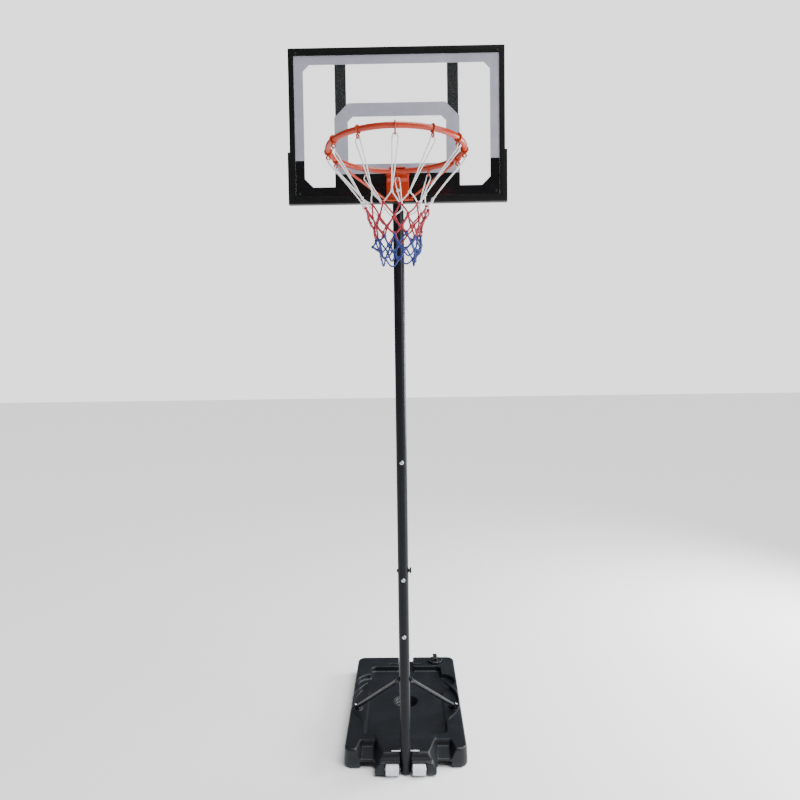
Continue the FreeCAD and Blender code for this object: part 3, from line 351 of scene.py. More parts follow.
def join(a, b, blend=4.0):
    """Two solids grown together with a fillet."""
    return soft_min(a, b, blend)


def carve(a, b, blend=4.0):
    """The second solid cut out of the first, with rounded edges."""
    return -soft_min(-a, b, blend)


def overlap(a, b, blend=4.0):
    """What two solids share, with rounded edges."""
    return -soft_min(-a, -b, blend)


class Room:
    """Even grid of points in millimetres on which a blended solid is worked out."""
    def __init__(self, low, high, step):
        self.low, self.step = np.array(low, float), step
        self.count = [int(math.ceil((b - a) / step)) + 1 for a, b in zip(low, high)]
        lines = [a + step * np.arange(n, dtype=np.float32) for a, n in zip(self.low, self.count)]
        self.x, self.y, self.z = np.meshgrid(*lines, indexing="ij", sparse=True)

    def slab(self, x_range, y_range, radius=0.0):
        """Upright block without ends, with round corners."""
        cx, cy = sum(x_range) / 2, sum(y_range) / 2
        hx = (x_range[1] - x_range[0]) / 2 - radius
        hy = (y_range[1] - y_range[0]) / 2 - radius
        dx, dy = np.abs(self.x - cx) - hx, np.abs(self.y - cy) - hy
        outside = np.hypot(np.maximum(dx, 0), np.maximum(dy, 0))
        return outside + np.minimum(np.maximum(dx, dy), 0) - radius

    def round(self, cx, cy, radius):
        return np.hypot(self.x - cx, self.y - cy) - radius

    def between(self, low, high):
        return np.abs(self.z - (low + high) / 2) - (high - low) / 2


CUBE = [(i, j, k) for i in (0, 1) for j in (0, 1) for k in (0, 1)]


def skin(room, field):
    """Surface where the field is zero: one point in each crossed cell, quads between them."""
    field = np.broadcast_to(field, room.count)
    inside = field < 0
    cells = [n - 1 for n in room.count]
    total = np.zeros(cells, np.int8)
    for i, j, k in CUBE:
        total += inside[i:i + cells[0], j:j + cells[1], k:k + cells[2]]
    crossed = (total > 0) & (total < 8)
    index = np.full(cells, -1, np.int64)
    where = np.argwhere(crossed)
    index[crossed] = np.arange(len(where))
    points, hits = np.zeros((len(where), 3)), np.zeros(len(where))
    for a in CUBE:
        for axis in range(3):
            if a[axis]:
                continue
            b = list(a)
            b[axis] = 1
            fa = field[tuple((where + a).T)].astype(float)
            fb = field[tuple((where + b).T)].astype(float)
            change = (fa < 0) != (fb < 0)
            share = np.where(change, fa / np.where(change, fa - fb, 1), 0)
            spot = where + np.array(a, float)
            spot[:, axis] += share
            points[change] += spot[change]
            hits[change] += 1
    points = (room.low + points / hits[:, None] * room.step) * MM
    quads = []
    for axis in range(3):
        u, v = (axis + 1) % 3, (axis + 2) % 3
        first = [slice(None)] * 3
        second = [slice(None)] * 3
        first[axis], second[axis] = slice(0, -1), slice(1, None)
        change = inside[tuple(first)] != inside[tuple(second)]
        edges = np.argwhere(change)
        keep = (edges[:, u] > 0) & (edges[:, v] > 0) & (edges[:, u] < cells[u]) & (edges[:, v] < cells[v])
        edges = edges[keep]
        outward = ~inside[tuple(edges.T)]
        corners = []
        for du, dv in ((0, 0), (-1, 0), (-1, -1), (0, -1)):
            cell = edges.copy()
            cell[:, u] += du
            cell[:, v] += dv
            corners.append(index[tuple(cell.T)])
        ring = np.stack(corners, 1)
        ring[outward] = ring[outward][:, ::-1]
        quads.append(ring)
    return points, np.concatenate(quads)


def blended_piece(name, room, field, material, body, cad, keep=1.0):
    """Piece from a blended solid, thinned where it is flat."""
    points, quads = skin(room, field)
    made = piece(name, points, quads[:, ::-1], material, body, True, cad)
    if keep < 1:
        made.modifiers.new("thin", "DECIMATE").ratio = keep
        apply_modifiers(made)
        for polygon in made.data.polygons:
            polygon.use_smooth = True
    return made


# ------------------------------------------------------------------ base
# Tank sizes in millimetres. Places along the tank are measured back from the pole's centre line.
TANK_HALF, TANK_FAR, TANK_TOP, TANK_CORNER, TANK_DRAFT = 255, 416, 82, 38, 3
BLOCK_HALF, BLOCK_TOP, BLOCK_FRONT, BLOCK_BACK = 124, 90, 12, 150
LUG_FRONT, LUG_BACK, LUG_LOW, LUG_TOP = 27, 20, 8, 60
PANEL_HALF, PANEL_FRONT, PANEL_BACK, PANEL_FLOOR = 175, 145, 745, 57
POCKET_BACK, POCKET_RADIUS, POCKET_FLOOR = 417, 243, 64
SCALLOP_OUT, SCALLOP_BACK, SCALLOP_RADIUS = 170, 600, 66
BEAD_RADIUS, BEAD_HEIGHT, BEAD_IN, BEAD_OUT = 249, 81, 186, 247
CHANNEL_HALF, CHANNEL_BACK = 37, 735
SLIT_HALF, SLIT_FRONT, SLIT_BACK, SLIT_FLOOR = 87, 771, 779, 70
DISH_BACK, DISH_RADIUS, DISH_FLOOR, DISH_RIB, DISH_PITCH = 452, 36, 8, 1.6, 11
WELL_FLOOR, WELL_RISE, WELL_BACK, WELL_LONG = 18, 37, 99, 139
WELL_IN, WELL_OUT, WELL_FLARE, WELL_SPREAD, WELL_REACH = 130, 184, 12, 54, 110
NOTCH_OUT, NOTCH_HALF, NOTCH_TOP, NOTCH_BACK = 158, 28, 27, 85
ARCH_OUT, ARCH_HALF, ARCH_TOP, ARCH_BACK = 55, 29, 54, 14
GAP_HALF, GAP_BACK = 22.5, 26
BOSS_OUT, BOSS_BACK, BOSS_RADIUS, BOSS_TOP, BOSS_LIMIT = 222, 380, 24, 76, 246
NECK_RADIUS, NECK_FLOOR, COLLAR_RADIUS, COLLAR_HEIGHT = 22.5, 58, 44, 81
FILL_TOP, TANK_WALL = 60, 6


def tank_outside(room, py):
    """Drafted body with the raised block and the lugs that hold the rollers."""
    y, z = room.y, room.z
    side = room.slab((-TANK_HALF, TANK_HALF), (-TANK_FAR, TANK_FAR), TANK_CORNER) + TANK_DRAFT * z / TANK_TOP
    body = overlap(side, room.between(0, TANK_TOP), 12)
    across = (-BLOCK_HALF, BLOCK_HALF)
    block = overlap(room.slab(across, (py - BLOCK_FRONT, py + BLOCK_BACK)), room.between(0, BLOCK_TOP), 5)
    block = overlap(block, (py - BLOCK_FRONT - y) * 0.8 + (z - 74) * 0.6, 5)
    block = overlap(block, (y - py - 95) * 0.196 + (z - BLOCK_TOP) * 0.981, 3)
    body = join(body, block, 5)
    lug = overlap(room.slab(across, (py - LUG_FRONT, py + LUG_BACK)), room.between(LUG_LOW, LUG_TOP), 6)
    lug = overlap(lug, (py - LUG_FRONT - y) * 0.45 + (z - 55) * 0.893, 4)
    return join(body, lug, 4)


def tank_top(room, py, body):
    """Sunk panel, strut pockets with their raised beads, rear channel and slit, ribbed dish."""
    x, y, z = room.x, room.y, room.z
    ax = np.abs(x)
    recess = room.slab((-PANEL_HALF, PANEL_HALF), (py + PANEL_FRONT, py + PANEL_BACK), 24)
    recess = recess - 6 * (z - PANEL_FLOOR) / 53
    body = carve(body, overlap(recess, PANEL_FLOOR - z, 8), 5)
    pocket = room.round(0, py + POCKET_BACK, POCKET_RADIUS) - 0.08 * (z - POCKET_FLOOR)
    body = carve(body, overlap(pocket, POCKET_FLOOR - z, 6), 5)
    for end in (-1, 1):
        scallop = room.round(end * SCALLOP_OUT, py + SCALLOP_BACK, SCALLOP_RADIUS) - 0.15 * (z - PANEL_FLOOR)
        body = carve(body, overlap(scallop, PANEL_FLOOR - z, 8), 5)
    arc_bead = np.hypot(np.hypot(x, y - py - POCKET_BACK) - BEAD_RADIUS, z - BEAD_HEIGHT) - 5
    arc_bead = overlap(arc_bead, BEAD_IN - ax, 6)
    arc_bead = overlap(arc_bead, ax - BEAD_OUT, 4)
    body = join(body, arc_bead, 4)
    channel = overlap(overlap(ax - CHANNEL_HALF, py + CHANNEL_BACK - y, 3), PANEL_FLOOR - z, 5)
    body = carve(body, channel, 5)
    slit = room.slab((-SLIT_HALF, SLIT_HALF), (py + SLIT_FRONT, py + SLIT_BACK), 3)
    body = carve(body, overlap(slit, SLIT_FLOOR - z, 2), 2.5)
    ribs = DISH_RIB * np.cos(2 * math.pi * z / DISH_PITCH)
    cone = (room.round(0, py + DISH_BACK, DISH_RADIUS) - 0.4 * (z - DISH_FLOOR)) * 0.93 + ribs
    return carve(body, overlap(cone, DISH_FLOOR - z, 8), 7)


def tank_front(room, py, body):
    """Flared wells with a notch under each, arches over the rollers, gap for the pole, strut bosses."""
    ax, y, z = np.abs(room.x), room.y, room.z
    floor = WELL_FLOOR + (y - py + 40) * (WELL_RISE / WELL_LONG)
    wide = WELL_FLARE + WELL_SPREAD * (py + WELL_BACK - y) / WELL_LONG
    lean = wide * (z - floor) / (WELL_REACH - floor)
    well = overlap(overlap(WELL_IN - lean - ax, ax - WELL_OUT - lean, 4),
                   overlap(floor - z, y - py - WELL_BACK, 5), 5)
    body = carve(body, well, 5)
    notch = overlap(np.abs(ax - NOTCH_OUT) - NOTCH_HALF, overlap(z - NOTCH_TOP, y - py - NOTCH_BACK, 4), 3)
    body = carve(body, notch, 4)
    arch = overlap(np.abs(ax - ARCH_OUT) - ARCH_HALF, overlap(z - ARCH_TOP, y - py - ARCH_BACK, 10), 4)
    body = carve(body, arch, 3)
    body = carve(body, overlap(ax - GAP_HALF, y - py - GAP_BACK, 3), 3)
    for end in (-1, 1):
        boss = overlap(room.round(end * BOSS_OUT, py + BOSS_BACK, BOSS_RADIUS),
                       overlap(z - BOSS_TOP, ax - BOSS_LIMIT, 3), 4)
        body = join(body, boss, 6)
    return body


def make_tank():
    """Blow-moulded tank, and the water in it."""
    py = pole_axis.y / MM
    room = Room((-262, py - 34, -6), (262, TANK_FAR + 7, 98), 3.0)
    x, y, z = room.x, room.y, room.z
    body = tank_front(room, py, tank_top(room, py, tank_outside(room, py)))
    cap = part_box("filler_cap")
    centre = (cap[0] + cap[1]) / 2 / MM
    neck = overlap(room.round(centre.x, centre.y, NECK_RADIUS), NECK_FLOOR - z, 2)
    body = carve(body, neck, 2)
    collar = np.hypot(np.hypot(x - centre.x, y - centre.y) - COLLAR_RADIUS, z - COLLAR_HEIGHT) - 3
    body = join(body, collar, 3)
    foot_groove = overlap(room.slab((-215, 215), (-TANK_FAR + 150, TANK_FAR - 60), 40), z - 4, 3)
    foot_keep = room.slab((-203, 203), (-TANK_FAR + 162, TANK_FAR - 72), 30)
    body = carve(body, overlap(foot_groove, -foot_keep, 3), 3)
    body = overlap(body, 0.6 - z, 2)
    blended_piece("tank_moulding", room, body, hdpe, "base", ["base_tank"], 0.45)
    fill = overlap(body + TANK_WALL, z - FILL_TOP, 1)
    blended_piece("tank_water", room, fill, water, "base", ["ballast_fill"], 0.2)


def make_filler_cap():
    """Screw cap with a knurled rim and a bar grip."""
    low, high = (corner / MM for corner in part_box("filler_cap"))
    c = (low + high) / 2
    room = Room(low - Vector((3, 3, 3)), high + Vector((3, 3, 3)), 1.0)
    x, y, z = room.x - c.x, room.y - c.y, room.z
    around = np.arctan2(y, x)
    grip_tall, disc_thick, knurls, knurl_deep = 20, 9, 30, 0.9
    disc_low, disc_high = high.z - grip_tall - disc_thick, high.z - grip_tall
    rim = np.hypot(x, y) - (c.x - low.x - knurl_deep) - knurl_deep * np.cos(knurls * around)
    cap = overlap(rim, np.abs(z - (disc_low + disc_high) / 2) - (disc_high - disc_low) / 2, 3)
    dish = overlap(np.hypot(x, y) - 31, disc_high - 2.5 - z, 2)
    cap = carve(cap, dish, 2)
    lean = 0.08 * (z - disc_high)
    bar = overlap(np.abs(x) - 12.5 + lean, np.abs(y) - 29 + lean, 4)
    bar = overlap(bar, np.abs(z - (disc_low + high.z) / 2) - (high.z - disc_low) / 2, 4)
    pinch = overlap(9.5 - np.abs(x), disc_high + 3 - z, 2)
    bar = carve(bar, overlap(pinch, np.abs(y) - 20, 3), 3)
    cap = join(cap, bar, 4)
    blended_piece("cap_moulding", room, cap, cap_plastic, "cap", ["filler_cap"], 0.6)
    low, high = (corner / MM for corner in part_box("cap_thread"))
    room = Room(low - Vector((3, 3, 3)), high + Vector((3, 3, 3)), 1.0)
    x, y, z = room.x - c.x, room.y - c.y, room.z
    thread_deep, thread_pitch, plug_radius = 0.7, 4, 21.1
    thread = thread_deep * np.cos(2 * math.pi * z / thread_pitch + np.arctan2(y, x))
    plug = overlap(np.hypot(x, y) - plug_radius - thread, np.maximum(low.z - z, z - high.z), 2)
    plug = carve(plug, overlap(np.hypot(x, y) - 17, z - high.z + 3, 1), 1)
    blended_piece("cap_thread_moulding", room, plug, cap_plastic, "cap", ["cap_thread"], 0.6)


def make_rollers():
    """White rollers: a smooth tread with ribbed, recessed ends."""
    for side in ("left", "right"):
        node = "roller_" + side
        low, high = (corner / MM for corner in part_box(node))
        c = (low + high) / 2
        room = Room(low - Vector((2, 2, 2)), high + Vector((2, 2, 2)), 1.0)
        x, y, z = np.abs(room.x - c.x), room.y - c.y, room.z - c.z
        radial, around = np.hypot(y, z), np.arctan2(z, y)
        half, radius = (high.x - low.x) / 2, (high.z - low.z) / 2
        tread = radius - 0.4 * (x / half) ** 4
        roller = overlap(radial - tread, x - half, 5)
        hollow = overlap(np.abs(radial - 14) - 4.5, half - 7 - x, 2)
        spoke = np.abs(np.sin(3 * around)) * radial / 3 - 1.1
        roller = carve(roller, overlap(hollow, -spoke, 1.5), 1.5)
        roller = carve(roller, radial - 4.2 + 0 * x, 1)
        groove = overlap(np.abs(x - half + 9) - 1.1, radius - 1.2 - radial, 1)
        roller = carve(roller, groove, 1)
        blended_piece(node + "_moulding", room, roller, roller_plastic, side + "_roller", [node],
                      0.7)


# ------------------------------------------------------------------ fixings
def turned_to(centre, axis, spin=0.0):
    """Placement whose own Z points along an axis."""
    turn = Vector(axis).to_track_quat("Z", "Y").to_matrix().to_4x4()
    return Matrix.Translation(centre) @ turn @ Matrix.Rotation(spin, 4, "Z")


def fixing(name, radius, height, places, material, body, cad, recess="cross", step=0.6):
    """Domed screw heads in millimetres, all from one form, set at each place."""
    room = Room((-radius - 2, -radius - 2, -2), (radius + 2, radius + 2, height + 2), step)
    x, y, z = room.x, room.y, room.z
    radial = np.hypot(x, y)
    crown = height * (1 - 0.45 * (radial / radius) ** 2)
    head = overlap(overlap(radial - radius, z - crown, 1.5), -z, 0.8)
    if recess == "cross":
        arm = np.minimum(np.maximum(np.abs(x) - 0.16 * radius, np.abs(y) - 0.55 * radius),
                         np.maximum(np.abs(y) - 0.16 * radius, np.abs(x) - 0.55 * radius))
    else:
        arm = hexagon(x, y, 0.42 * radius)
    head = carve(head, overlap(arm, 0.35 * height - z, 0.5), 0.6)
    points, quads = skin(room, head)
    return copies(name, points, quads, places, material, body, cad)


def copies(name, points, quads, places, material, body, cad):
    """One piece with the same form at several places."""
    vertices, faces = [], []
    for place in places:
        start = len(vertices)
        vertices += [place @ Vector(point) for point in points]
        faces += [[start + int(i) for i in reversed(quad)] for quad in quads]
    return piece(name, vertices, faces, material, body, True, cad)


def hexagon(x, y, inner):
    """Six flats at this distance from the centre."""
    far = np.abs(y)
    for turn in (math.radians(60), math.radians(120)):
        far = np.maximum(far, np.abs(x * math.sin(turn) + y * math.cos(turn)))
    return far - inner


def hex_nuts(name, node, across, thick, bolt, places, material, body):
    """Chamfered nuts on a washer, round a bolt's end."""
    room = Room((-across, -across, -1.5), (across, across, thick + 6), 0.7)
    x, y, z = room.x, room.y, room.z
    radial = np.hypot(x, y)
    nut = overlap(hexagon(x, y, across / 2), np.abs(z - 1.5 - thick / 2) - thick / 2, 0.8)
    nut = overlap(nut, radial - across * 0.56 + 0.5 * np.maximum(z - thick, 0), 1)
    washer = overlap(radial - across * 0.72, np.abs(z - 0.8) - 0.8, 0.6)
    stud = overlap(radial - bolt, z - thick - 4.5, 1)
    form = join(join(nut, washer, 0.5), overlap(stud, -z, 0.5), 0.4)
    points, quads = skin(room, form)
    return copies(name, points, quads, places, material, body, [node])


def make_fixings():
    """Screw heads on the pole, frame, rim and clamp, then the nuts and the knob."""
    front, right = Vector((0, -1, 0)), Vector((1, 0, 0))
    head_seat = 0.0205
    for node, body in (("lower_joint_screw", "base"), ("upper_joint_screw", "mast"), ("set_screw", "mast")):
        low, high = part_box(node)
        c = (low + high) / 2
        radius = (high.x - low.x) / 2 / MM
        seat = Vector((c.x, pole_axis.y - head_seat, c.z))
        fixing(node + "_head", radius, 6.0, [turned_to(seat, front)], zinc, body, [node], "hex")
    low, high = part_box("frame_screws")
    head_radius, upper_out, lower_out = 0.0055, 0.372, 0.366
    corners = []
    for sign in (-1, 1):
        corners.append(Vector((sign * upper_out, panel_low.y - 0.003, high.z - head_radius)))
        corners.append(Vector((sign * lower_out, panel_low.y - 0.0003, low.z + head_radius)))
    fixing("frame_screw_heads", 5.5, 3.0, [turned_to(c, front, 0.4) for c in corners], black_steel,
           "mast", ["frame_screws"])
    low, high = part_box("rim_bolt")
    seat = Vector((0, low.y + 0.006, (low.z + high.z) / 2))
    fixing("rim_bolt_head", 8.5, 6.0, [turned_to(seat, front)], zinc, "mast", ["rim_bolt"],
           "hex")
    low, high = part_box("guide_screw")
    seat = Vector((low.x + 0.0055, pole_axis.y, (low.z + high.z) / 2))
    fixing("guide_screw_head", 7, 5.5, [turned_to(seat, -right)], black_steel, "mast", ["guide_screw"],
           "hex")
    low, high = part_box("plate_rivet")
    c = (low + high) / 2
    under = Vector((c.x, c.y, ring_centre.z + ring_tube))
    top = Vector((c.x, c.y, high.z - 0.003))
    fixing("plate_rivet_heads", 6, 3.0, [turned_to(under, (0, 0, -1)), turned_to(top, (0, 0, 1))], zinc,
           "mast", ["plate_rivet"], "hex")
    make_carrier_nuts()
    make_strut_fixings()
    make_clamp_knob()


def make_carrier_nuts():
    """Nuts on the U-bolts and on the rim bolt, against the cross straps."""
    strap_low, strap_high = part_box("cross_strap_lower")
    reach = pole_radius + 0.0042
    places = []
    for level in ("lower", "upper"):
        height = middle("cross_strap_" + level).z
        for sign in (-1, 1):
            places.append(turned_to(Vector((sign * reach, strap_low.y, height)), (0, -1, 0)))
    hex_nuts("u_bolt_hex_nuts", "u_bolt_nuts", 13, 6, 4, places, zinc, "mast")
    centre = Vector((0, strap_high.y, middle("cross_strap_lower").z))
    hex_nuts("rim_hex_nut", "rim_nut", 16, 8, 5, [turned_to(centre, (0, 1, 0))], zinc, "mast")


def make_strut_fixings():
    """Nuts where the struts meet the pole, and bolt heads at their feet."""
    low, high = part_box("strut_top_bolt")
    c = (low + high) / 2
    ends = [turned_to(Vector((sign * (pole_radius + 0.0031), pole_axis.y, c.z)), (sign, 0, 0))
            for sign in (-1, 1)]
    hex_nuts("strut_bolt_ends", "strut_top_bolt", 14, 5, 4, ends, black_steel, "base")
    low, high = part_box("strut_foot_bolts")
    c = (low + high) / 2
    feet = [turned_to(Vector((sign * (high.x - 0.007), c.y, high.z - 0.005)), (0, 0, 1)) for sign in (-1, 1)]
    fixing("strut_foot_heads", 7, 5.0, feet, zinc, "base", ["strut_foot_bolts"], "hex")


def make_clamp_knob():
    """Five-lobed knob on a plain stem."""
    low, high = (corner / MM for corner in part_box("clamp_knob"))
    c = (low + high) / 2
    room = Room((-14, -14, -1), (14, 14, high.x - low.x + 1), 0.6)
    x, y, z = room.x, room.y, room.z
    radial, around = np.hypot(x, y), np.arctan2(y, x)
    total = high.x - low.x
    grip = overlap(radial - 11.3 - 1.2 * np.cos(5 * around), np.abs(z - total + 3.5) - 3.5, 2.5)
    grip = carve(grip, overlap(radial - 6, total - 1.2 - z, 1), 1)
    stem = overlap(radial - 2.9, np.abs(z - total / 2) - total / 2, 0.6)
    points, quads = skin(room, join(grip, stem, 1.5))
    place = turned_to(Vector((low.x, c.y, c.z)) * MM, (1, 0, 0))
    copies("clamp_knob_moulding", points, quads, [place], cap_plastic, "clamp", ["clamp_knob"])


# ------------------------------------------------------------------ backboard
def rounded(points, radii, steps=4):
    """Outline with each corner turned into an arc of its radius."""
    made = []
    count = len(points)
    for i, (point, radius) in enumerate(zip(points, radii)):
        corner = Vector(point)
        before = (Vector(points[i - 1]) - corner).normalized()
        after = (Vector(points[(i + 1) % count]) - corner).normalized()
        if radius <= 0:
            made.append(corner)
            continue
        half = before.angle(after) / 2
        reach = radius / math.tan(half)
        for k in range(steps + 1):
            t = k / steps
            a, b = corner + before * reach, corner + after * reach
            made.append(a * (1 - t) ** 2 + corner * 2 * t * (1 - t) + b * t ** 2)
    return made


def u_moulding(name, outer_half, band, side_start, side_end, nodes, sign):
    """Three-sided frame moulding with two mitred corners; sign is 1 when the rail is on top."""
    front, back = rail_low.y, rail_high.y
    lip, wall = 0.003, 0.012
    width = outer_half - opening_half
    section = [(0, 0, back), (0, 0, front), (width, band, front), (width, band, front + lip),
               (wall, wall, front + lip), (wall, wall, back)]
    smooth = smooth_profile(section)
    count = len(smooth)
    start, end = (side_start, False), (side_end, True)
    vertices = []
    for flank, order in ((-1, (start, end)), (1, (end, start))):
        for height, corner in order:
            for side_in, rail_in, depth in smooth:
                z = height - sign * rail_in if corner else height
                vertices.append((flank * (outer_half - side_in), depth, z))
    faces = []
    for k in range(3):
        for i in range(count):
            n = (i + 1) % count
            faces.append((k * count + i, k * count + n, (k + 1) * count + n, (k + 1) * count + i))
    faces.append(list(range(count - 1, -1, -1)))
    faces.append([3 * count + i for i in range(count)])
    form = bmesh.new()
    points = [form.verts.new(v) for v in vertices]
    for face in faces:
        form.faces.new([points[i] for i in face])
    made = from_bmesh(name, form, frame_plastic, "mast", False, nodes)
    smooth_by_angle(made, 35)


def smooth_profile(profile):
    """The frame's section with its outer edges rounded."""
    radii = [0.002, 0.004, 0.0012, 0.0008, 0.0008, 0.0015]
    flat = [Vector((side, rail, depth)) for side, rail, depth in profile]
    return [tuple(point) for point in rounded(flat, radii, 4)]


def smooth_by_angle(made, degrees):
    """Smooth shading that keeps edges sharper than this angle."""
    form = bmesh.new()
    form.from_mesh(made.data)
    limit = math.radians(degrees)
    for edge in form.edges:
        edge.smooth = len(edge.link_faces) == 2 and edge.calc_face_angle(0) < limit
    for face in form.faces:
        face.smooth = True
    form.to_mesh(made.data)
    form.free()


def make_frame():
    """Board frame: an upper moulding on three sides, and a lower one that laps over it."""
    upper, lower = (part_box("frame_" + part + "_right")[1].x for part in ("upper", "lower"))
    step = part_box("frame_upper_left")[0].z
    u_moulding("upper_frame_moulding", upper, rail_high.z - rail_low.z, step, rail_high.z,
               ["frame_top_rail", "frame_upper_left", "frame_upper_right"], 1)
    low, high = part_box("frame_bottom_rail")
    u_moulding("lower_frame_moulding", lower, high.z - low.z, step, low.z,
               ["frame_bottom_rail", "frame_lower_left", "frame_lower_right"], -1)


# ------------------------------------------------------------------ rim
def make_bracket():
    """Folded steel bracket: a face on the board, a tapered top plate and a foot for the braces."""
    low, high = (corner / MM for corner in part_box("rim_bracket"))
    room = Room(low - Vector((3, 3, 3)), high + Vector((3, 3, 3)), 1.3)
    ax, y, z = np.abs(room.x), room.y, room.z
    half, foot_half, sheet, narrowing = 42, 58, 4, 13
    back = high.y
    face = overlap(overlap(ax - half, np.abs(y - back + 2) - 2, 1), room.between(low.z, high.z), 3)
    taper = ax - half + narrowing * (back - sheet - y) / (back - sheet - low.y)
    plate = overlap(taper, np.abs(z - high.z + 1.5) - 1.5, 1)
    plate = overlap(plate, np.abs(y - (low.y + back) / 2) - (back - low.y) / 2, 2)
    bracket = join(face, plate, 6)
    foot = overlap(overlap(ax - foot_half, np.abs(z - low.z - 1.6) - 1.6, 1), np.abs(y - back + 8) - 8, 4)
    bracket = join(bracket, foot, 5)
    fold = overlap(overlap(ax - half + 2, y - back, 1), (back - 15 - y) * 0.7 + (high.z - 15 - z) * 0.7, 1)
    bracket = join(bracket, overlap(fold, np.maximum(z - high.z, back - 13 - y), 1), 2)
    blended_piece("bracket_folded", room, bracket, rim_paint, "mast", ["rim_bracket"], 0.6)


# ------------------------------------------------------------------ net
def tube(path, radius, sides=8):
    """Tube round a path, with its texture running along in cord widths."""
    path = [Vector(p) for p in path]
    ahead = [(path[min(i + 1, len(path) - 1)] - path[max(i - 1, 0)]).normalized() for i in range(len(path))]
    side = ahead[0].orthogonal().normalized()
    vertices, faces, texture = [], [], []
    run = 0.0
    rows = []
    for i, (point, direction) in enumerate(zip(path, ahead)):
        side = (side - direction * side.dot(direction)).normalized()
        other = direction.cross(side)
        if i:
            run += (point - path[i - 1]).length / (2 * radius)
        rows.append(run)
        for k in range(sides):
            angle = 2 * math.pi * k / sides
            vertices.append(point + (side * math.cos(angle) + other * math.sin(angle)) * radius)
    for i in range(len(path) - 1):
        for k in range(sides):
            n = (k + 1) % sides
            faces.append((i * sides + k, i * sides + n, (i + 1) * sides + n, (i + 1) * sides + k))
            u0, u1 = 3 * k / sides, 3 * (k + 1) / sides
            texture.append(((u0, rows[i]), (u1, rows[i]), (u1, rows[i + 1]), (u0, rows[i + 1])))
    for ring, flip in ((0, True), (len(path) - 1, False)):
        face = [ring * sides + k for k in range(sides)]
        faces.append(face[::-1] if flip else face)
        texture.append(tuple((0.2 * k, rows[ring]) for k in range(sides)))
    return vertices, faces, texture


def cord_piece(name, paths, radius, material, cad):
    """One piece made of many cords."""
    vertices, faces, texture = [], [], []
    for path in paths:
        more_vertices, more_faces, more_texture = tube(path, radius)
        start = len(vertices)
        vertices += more_vertices
        faces += [[start + i for i in face] for face in more_faces]
        texture += more_texture
    made = piece(name, vertices, faces, material, "mast", True, cad)
    layer = made.data.uv_layers.new(name="cord")
    for polygon, corners in zip(made.data.polygons, texture):
        for loop, corner in zip(polygon.loop_indices, corners):
            layer.data[loop].uv = corner
    return made


def bow(a, b, sag, out, count=9):
    """Slack strand between two knots: it sags and bellies out a little."""
    return [a.lerp(b, i / count) + (Vector((0, 0, -sag)) + out) * math.sin(math.pi * i / count)
            for i in range(count + 1)]


def knot(centre, size, turn):
    """Small closed tangle: a cord wound three times round and twice through itself."""
    spin = Matrix.Rotation(turn, 3, "Z") @ Matrix.Rotation(turn * 1.7, 3, "X")
    path = []
    for i in range(37):
        t = 2 * math.pi * i / 36
        reach = size * (0.62 + 0.38 * math.cos(3 * t))
        path.append(centre + spin @ Vector((reach * math.cos(2 * t), reach * math.sin(2 * t),
                                            0.62 * size * math.sin(3 * t))))
    return path


# Rows of knots: height, distance from the net's middle, turn in steps between clips.
NET_ROWS = [(2.176, 0.118, 0.0), (2.148, 0.102, 0.5), (2.112, 0.089, 1.0), (2.082, 0.081, 1.5),
            (2.056, 0.075, 2.0), (2.028, 0.071, 2.5), (2.004, 0.068, 3.0)]


